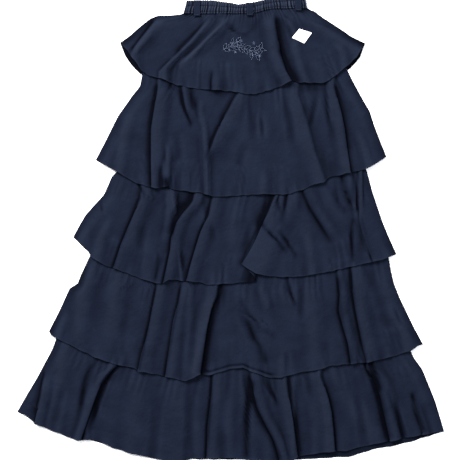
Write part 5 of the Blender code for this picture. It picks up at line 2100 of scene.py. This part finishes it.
@dataclass
class Patch:
    """Small blank square sewn on the first tier, point down.

    Attributes:
        corners: plan points, from the left one clockwise.
        thickness: its thickness in millimetres.
        gap: how far it lies over the outside of the cloth.
        steps: rows and columns of faces.
        border: distance of the stitches from its sides.
    """

    corners: tuple = ((121.5, 376), (136, 394), (161, 386), (146, 365))
    thickness: float = 1.0
    gap: float = 0.55
    steps: int = 30
    border: float = 1.5

    SIDE = 23.0
    SETTLINGS = 12  # rounds in which it is drawn tight over the folds under it
    SEAM_DIP, SEAM_WIDTH = 0.22, 0.6
    CROWN, CROWN_REACH = 0.35, 6.0
    STITCH_PITCH, STITCH_LENGTH = 0.1, 0.066  # in shares of a side

    def at(self, u: float, v: float) -> tuple:
        """Plan point on the patch.

        Args:
            u: share along the side from the left corner.
            v: share along the side next to it.

        Returns:
            Its x and y.
        """
        a, b, c, d = (np.array(corner, float) for corner in self.corners)
        near, far = a + (b - a) * u, d + (c - d) * u
        point = near + (far - near) * v
        return float(point[0]), float(point[1])

    def build(self, cloth: BVHTree, material: Material, thread: Material) -> None:
        """Lays the patch on the cloth and sews it down.

        Args:
            cloth: surface of the first tier.
            material: the patch's finish.
            thread: the stitches' finish.
        """
        shares = np.linspace(0.0, 1.0, self.steps + 1)
        points = np.zeros((len(shares), len(shares), 3))
        for row, u in enumerate(shares):
            for column, v in enumerate(shares):
                x, y = self.at(float(u), float(v))
                points[row, column] = (x, y, top_of(cloth, x, y))
        for _ in range(self.SETTLINGS):
            inner = points[1:-1, 1:-1, 2]
            around = points[:-2, 1:-1, 2] + points[2:, 1:-1, 2] + points[1:-1, :-2, 2] + points[1:-1, 2:, 2]
            points[1:-1, 1:-1, 2] = np.maximum(inner, around / 4)
        nearest = np.minimum(shares, 1 - shares)
        side = np.minimum(nearest[:, None], nearest) * self.SIDE
        dip = self.SEAM_DIP * bell(side - self.border, self.SEAM_WIDTH)
        points[..., 2] += self.gap + self.thickness / 2 + self.CROWN * smooth(side / self.CROWN_REACH) - dip
        uv = np.stack(np.meshgrid(shares, shares), -1) * self.SIDE * MM
        obj = grid_object("label_patch_cloth", points, uv, material)
        point_values(obj, "hem_distance", side)
        thicken(obj, self.thickness)
        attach(obj, BODY)
        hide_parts("label_patch")
        stitches = Stitches("label_patch_stitches", width=0.5, height=0.3, sink=0.3)
        inset = self.border / self.SIDE
        for start in np.arange(inset, 1.0 - inset, self.STITCH_PITCH):
            end = min(start + self.STITCH_LENGTH, 1.0 - inset)
            for line in (
                ((start, inset), (end, inset)), ((start, 1 - inset), (end, 1 - inset)),
                ((inset, start), (inset, end)), ((1 - inset, start), (1 - inset, end)),
            ):
                stitches.add(*[self.at(float(u), float(v)) for u, v in line])
        stitches.build(surface_of(obj), thread)


@dataclass
class Spray:
    """Embroidered spray of slender leaves and small blossoms on the first tier.

    Attributes:
        centre: its middle in plan.
        turn: how far it is turned, in degrees.
        satin: distance between two stitches.
        stems: points of each stem.
        leaf_pitch: distance between two pairs of leaves.
        leaf_length: length of a leaf.
        leaf_half: half of its width.
        leaf_angle: angle between a leaf and its stem, in degrees.
        blossoms: centre, radius and petals of each blossom.
        widths: width of a stitch of each thread, in millimetres.
        heights: how far it stands out of the cloth.
    """

    centre: tuple = (24.0, 356.0)
    turn: float = -3.0
    satin: float = 0.62
    stems: tuple = (
        ((-42, -7), (-30, 0), (-16, 3), (0, 0), (14, -4), (28, -3), (42, 5)),
        ((-26, 2), (-18, 9), (-8, 12)),
        ((14, -5), (20, -11), (30, -13)),
    )
    leaf_pitch: float = 10.6
    leaf_length: float = 12.5
    leaf_half: float = 3.0
    leaf_angle: float = 42.0
    blossoms: tuple = (((-4, 14), 3.6, 5), ((21, 11), 3.6, 5), ((-14, -9), 3.2, 5), ((34, -14), 3.2, 5))
    widths: dict = field(default_factory=lambda: {"dark": 0.95, "grey": 0.4, "pale": 0.36})
    heights: dict = field(default_factory=lambda: {"dark": 0.35, "grey": 0.6, "pale": 0.7})

    SINK = 0.4
    STEM_STITCH, STEM_OVERLAP = 2.0, 0.2
    LEAF_ENDS, LEAF_POWER, LEAF_VEIN, LEAF_SLANT = (0.4, 0.3), 0.8, 0.15, 0.7
    LEAF_OUTLINE = ((0.0, 0.0), (0.3, 0.95), (0.6, 0.95), (1.05, 0.0))
    PETAL_TURN, PETAL_SPREAD, PETAL_STITCHES, PETAL_START = 0.3, 0.4, 4, 0.28
    PETAL_ROUND, PETAL_POWER = 0.9, 2.2
    DOTS, DOT_START, DOT_END = 7, 0.3, 1.5

    def place(self, x: float, y: float) -> tuple:
        """Plan point of a point of the design.

        Args:
            x: the design's x.
            y: the design's y.

        Returns:
            Its x and y in plan.
        """
        a = math.radians(self.turn)
        cx, cy = self.centre
        return cx + x * math.cos(a) - y * math.sin(a), cy + x * math.sin(a) + y * math.cos(a)

    @staticmethod
    def around(centre: tuple, radius: float, angle: float) -> tuple:
        """Point at this distance and angle from a centre."""
        return centre[0] + radius * math.cos(angle), centre[1] + radius * math.sin(angle)

    def leaf_pairs(self, stem: tuple) -> list:
        """Places the leaves that grow from a stem, on both of its sides.

        Args:
            stem: the stem's points.

        Returns:
            Base and tip of each leaf.
        """
        line = np.array(stem, float)
        total = np.hypot(*np.diff(line, axis=0).T).sum()
        pairs = []
        for at in np.arange(self.leaf_pitch / 2, total, self.leaf_pitch):
            base, (ahead_x, ahead_y) = at_share(stem, np.array([at, at + 0.5]) / total)
            along = math.atan2(ahead_y - base[1], ahead_x - base[0])
            for side in (-1.0, 1.0):
                angle = along + side * math.radians(self.leaf_angle)
                pairs.append((tuple(base), self.around(base, self.leaf_length, angle)))
        return pairs

    def leaf(self, fill: Stitches, edge: Stitches, base: tuple, tip: tuple) -> None:
        """Fills a leaf with slanted satin stitches of dark thread, painted shade among the pale threads, and
        runs a paler thread around it.

        Args:
            fill: stitches that fill it.
            edge: stitches that run around it.
            base: point that it grows from.
            tip: its other end.
        """
        half = self.leaf_half
        length = math.dist(base, tip)
        dx, dy = (tip[0] - base[0]) / length, (tip[1] - base[1]) / length
        for at in np.arange(self.LEAF_ENDS[0], length - self.LEAF_ENDS[1], self.satin):
            wide = half * math.sin(math.pi * (at / length) ** self.LEAF_POWER) ** self.LEAF_POWER
            mx, my = base[0] + dx * at, base[1] + dy * at
            for side in (-1.0, 1.0):
                slant = self.LEAF_SLANT
                end = (mx - side * dy * wide + dx * slant * wide, my + side * dx * wide + dy * slant * wide)
                start = (mx - side * dy * self.LEAF_VEIN, my + side * dx * self.LEAF_VEIN)
                fill.add(self.place(*start), self.place(*end))
        for side in (-1.0, 1.0):
            line = []
            for at, wide in self.LEAF_OUTLINE:
                x = base[0] + dx * at * length - side * dy * wide * half
                line.append((x, base[1] + dy * at * length + side * dx * wide * half))
            self.outline(edge, line)

    def outline(self, stitches: Stitches, points: tuple) -> None:
        """Runs a stem stitch along a line.

        Args:
            stitches: the stitches to add to.
            points: the line's points.
        """
        line = np.array(points, float)
        total = np.hypot(*np.diff(line, axis=0).T).sum()
        count = max(2, round(total / self.STEM_STITCH))
        marks = at_share(points, np.linspace(0.0, 1.0, count + 1))
        more = self.STEM_OVERLAP
        for (ax, ay), (bx, by) in zip(marks, marks[1:]):
            stitches.add(self.place(ax, ay), self.place(bx + more * (bx - ax), by + more * (by - ay)))

    def blossom(self, petals: Stitches, hearts: Stitches, centre: tuple, radius: float, count: int) -> None:
        """Fills the petals of a blossom and dots its heart.

        Args:
            petals: stitches that fill the petals.
            hearts: stitches that dot the hearts.
            centre: its middle.
            radius: length of a petal.
            count: number of petals.
        """
        for petal in range(count):
            middle = 2 * math.pi * petal / count + self.PETAL_TURN
            for spread in np.linspace(-self.PETAL_SPREAD, self.PETAL_SPREAD, self.PETAL_STITCHES):
                reach = radius * (1.0 - self.PETAL_ROUND * abs(spread) ** self.PETAL_POWER)
                start = self.around(centre, self.PETAL_START * radius, middle + spread)
                petals.add(self.place(*start), self.place(*self.around(centre, reach, middle + spread)))
        for dot in range(self.DOTS):
            angle = 2 * math.pi * dot / self.DOTS
            ends = (self.around(centre, radius, angle) for radius in (self.DOT_START, self.DOT_END))
            hearts.add(*[self.place(*end) for end in ends])

    def build(self, cloth: BVHTree, threads: dict) -> None:
        """Sews the whole spray.

        Args:
            cloth: surface of the first tier.
            threads: thread finishes by name: pale, grey, and dark, which is painted shade.
        """
        work = {
            name: Stitches(f"spray_{name}", self.widths[name], height, self.SINK)
            for name, height in self.heights.items()
        }
        for stem in self.stems:
            self.outline(work["grey"], stem)
            for base, tip in self.leaf_pairs(stem):
                self.leaf(work["dark"], work["pale"], base, tip)
        for centre, radius, count in self.blossoms:
            self.blossom(work["grey"], work["pale"], centre, radius, count)
        for name, stitches in work.items():
            stitches.build(cloth, threads[name])
        log.info("spray: %d stitches", sum(len(stitches.lines) for stitches in work.values()))


@dataclass
class Studio:
    """Pale floor, soft light and a camera straight above.

    Attributes:
        distance: height of the camera over the table, in metres.
        frame_width: width of the table that the picture shows, in metres.
        middle: point of the table in the middle of the picture, in metres.
        floor_size: side of the floor, in metres.
        floor_colour: the floor's colour.
        sky: colour of the light from all around.
        sky_strength: its strength.
        lights: name, place, size, power and colour of each lamp.
    """

    distance: float = 3.0
    frame_width: float = 0.9145
    middle: tuple = (-0.0014, -0.005)
    floor_size: float = 30.0
    floor_colour: tuple = (0.9, 0.9, 0.905, 1.0)
    sky: tuple = (0.93, 0.95, 1.0, 1.0)
    sky_strength: float = 0.68
    lights: tuple = (
        ("key", (-2.0, 2.6, 3.4), 2.2, 760.0, (1.0, 0.99, 0.97)),
        ("fill", (3.6, 0.6, 4.5), 4.0, 290.0, (0.95, 0.97, 1.0)),
    )

    UNDER_SKIRT = -0.0004

    def light(self, name: str, place: tuple, size: float, power: float, colour: tuple) -> None:
        """Adds a soft square light that faces the skirt.

        Args:
            name: its name.
            place: where it stands, in metres.
            size: its side in metres.
            power: its power in watts.
            colour: its colour.
        """
        lamp = bpy.data.lights.new(name, "AREA")
        lamp.size = size
        lamp.energy = power
        lamp.color = colour
        obj = bpy.data.objects.new(name, lamp)
        obj.location = place
        obj.rotation_euler = (-Vector(place)).to_track_quat("-Z", "Y").to_euler()
        bpy.context.collection.objects.link(obj)

    def build(self) -> None:
        """Makes the camera, the floor and the lights."""
        scene = bpy.context.scene
        lens = bpy.data.cameras.new("camera")
        lens.sensor_width = 36.0
        lens.lens = lens.sensor_width * self.distance / self.frame_width
        camera = bpy.data.objects.new("camera", lens)
        camera.location = (*self.middle, self.distance)
        bpy.context.collection.objects.link(camera)
        scene.camera = camera
        scene.view_settings.view_transform = "Standard"
        half = self.floor_size / 2
        mesh = bpy.data.meshes.new("floor")
        corners = [(x * half, y * half, self.UNDER_SKIRT) for x, y in ((-1, -1), (1, -1), (1, 1), (-1, 1))]
        mesh.from_pydata(corners, [], [(0, 1, 2, 3)])
        paper = bpy.data.materials.new("pale_floor")
        paper.use_nodes = True
        surface = paper.node_tree.nodes["Principled BSDF"]
        surface.inputs["Base Color"].default_value = self.floor_colour
        surface.inputs["Roughness"].default_value = 0.9
        surface.inputs["Specular IOR Level"].default_value = 0.0
        mesh.materials.append(paper)
        floor = bpy.data.objects.new("floor", mesh)
        bpy.context.collection.objects.link(floor)
        for name, place, size, power, colour in self.lights:
            self.light(name, place, size, power, colour)
        world = bpy.data.worlds.new("studio")
        world.use_nodes = True
        back = world.node_tree.nodes["Background"]
        back.inputs["Color"].default_value = self.sky
        back.inputs["Strength"].default_value = self.sky_strength
        scene.world = world


def main() -> None:
    """Builds the studio, then every piece of the skirt from the hem's cloth up."""
    logging.basicConfig(level=logging.INFO, format="%(name)s: %(message)s")
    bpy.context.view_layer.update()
    groups = {
        WASH: wash_group(), EDGE: edge_group(), KNIT: knit_group(), CRUMPLE: crumple_group(),
        PAINTED_SHADING: painted_shading_group(),
    }
    Studio().build()
    knit = NAVY_KNIT.make(groups)
    first = None
    for index in range(len(TIER_CUTS)):
        darkest = {"back_painted_shade": FIRST_BACK_PAINTED_SHADE} if first is None else {}
        TierPanel(index, Side.BACK, row_step=BACK_FACE, pitch=BACK_FACE, **darkest).build(knit)
        finest = {"pitch": FIRST_PITCH} if first is None else {}
        piece = TierPanel(index, Side.FRONT, **finest).build(knit)
        first = first or piece
    cloth = surface_of(first)
    sewing = NAVY_THREAD.make(groups)
    band = Waistband()
    band.build(NAVY_SHIRRED.make(groups), sewing)
    BeltLoops().build(band, NAVY_BINDING.make(groups), sewing)
    Patch().build(cloth, WHITE_PATCH.make(groups), PATCH_THREAD.make(groups))
    threads = {"pale": PALE_THREAD, "grey": GREY_THREAD, "dark": SHADE_THREAD}
    Spray().build(cloth, {name: finish.make(groups) for name, finish in threads.items()})


if __name__ == "__main__":
    main()
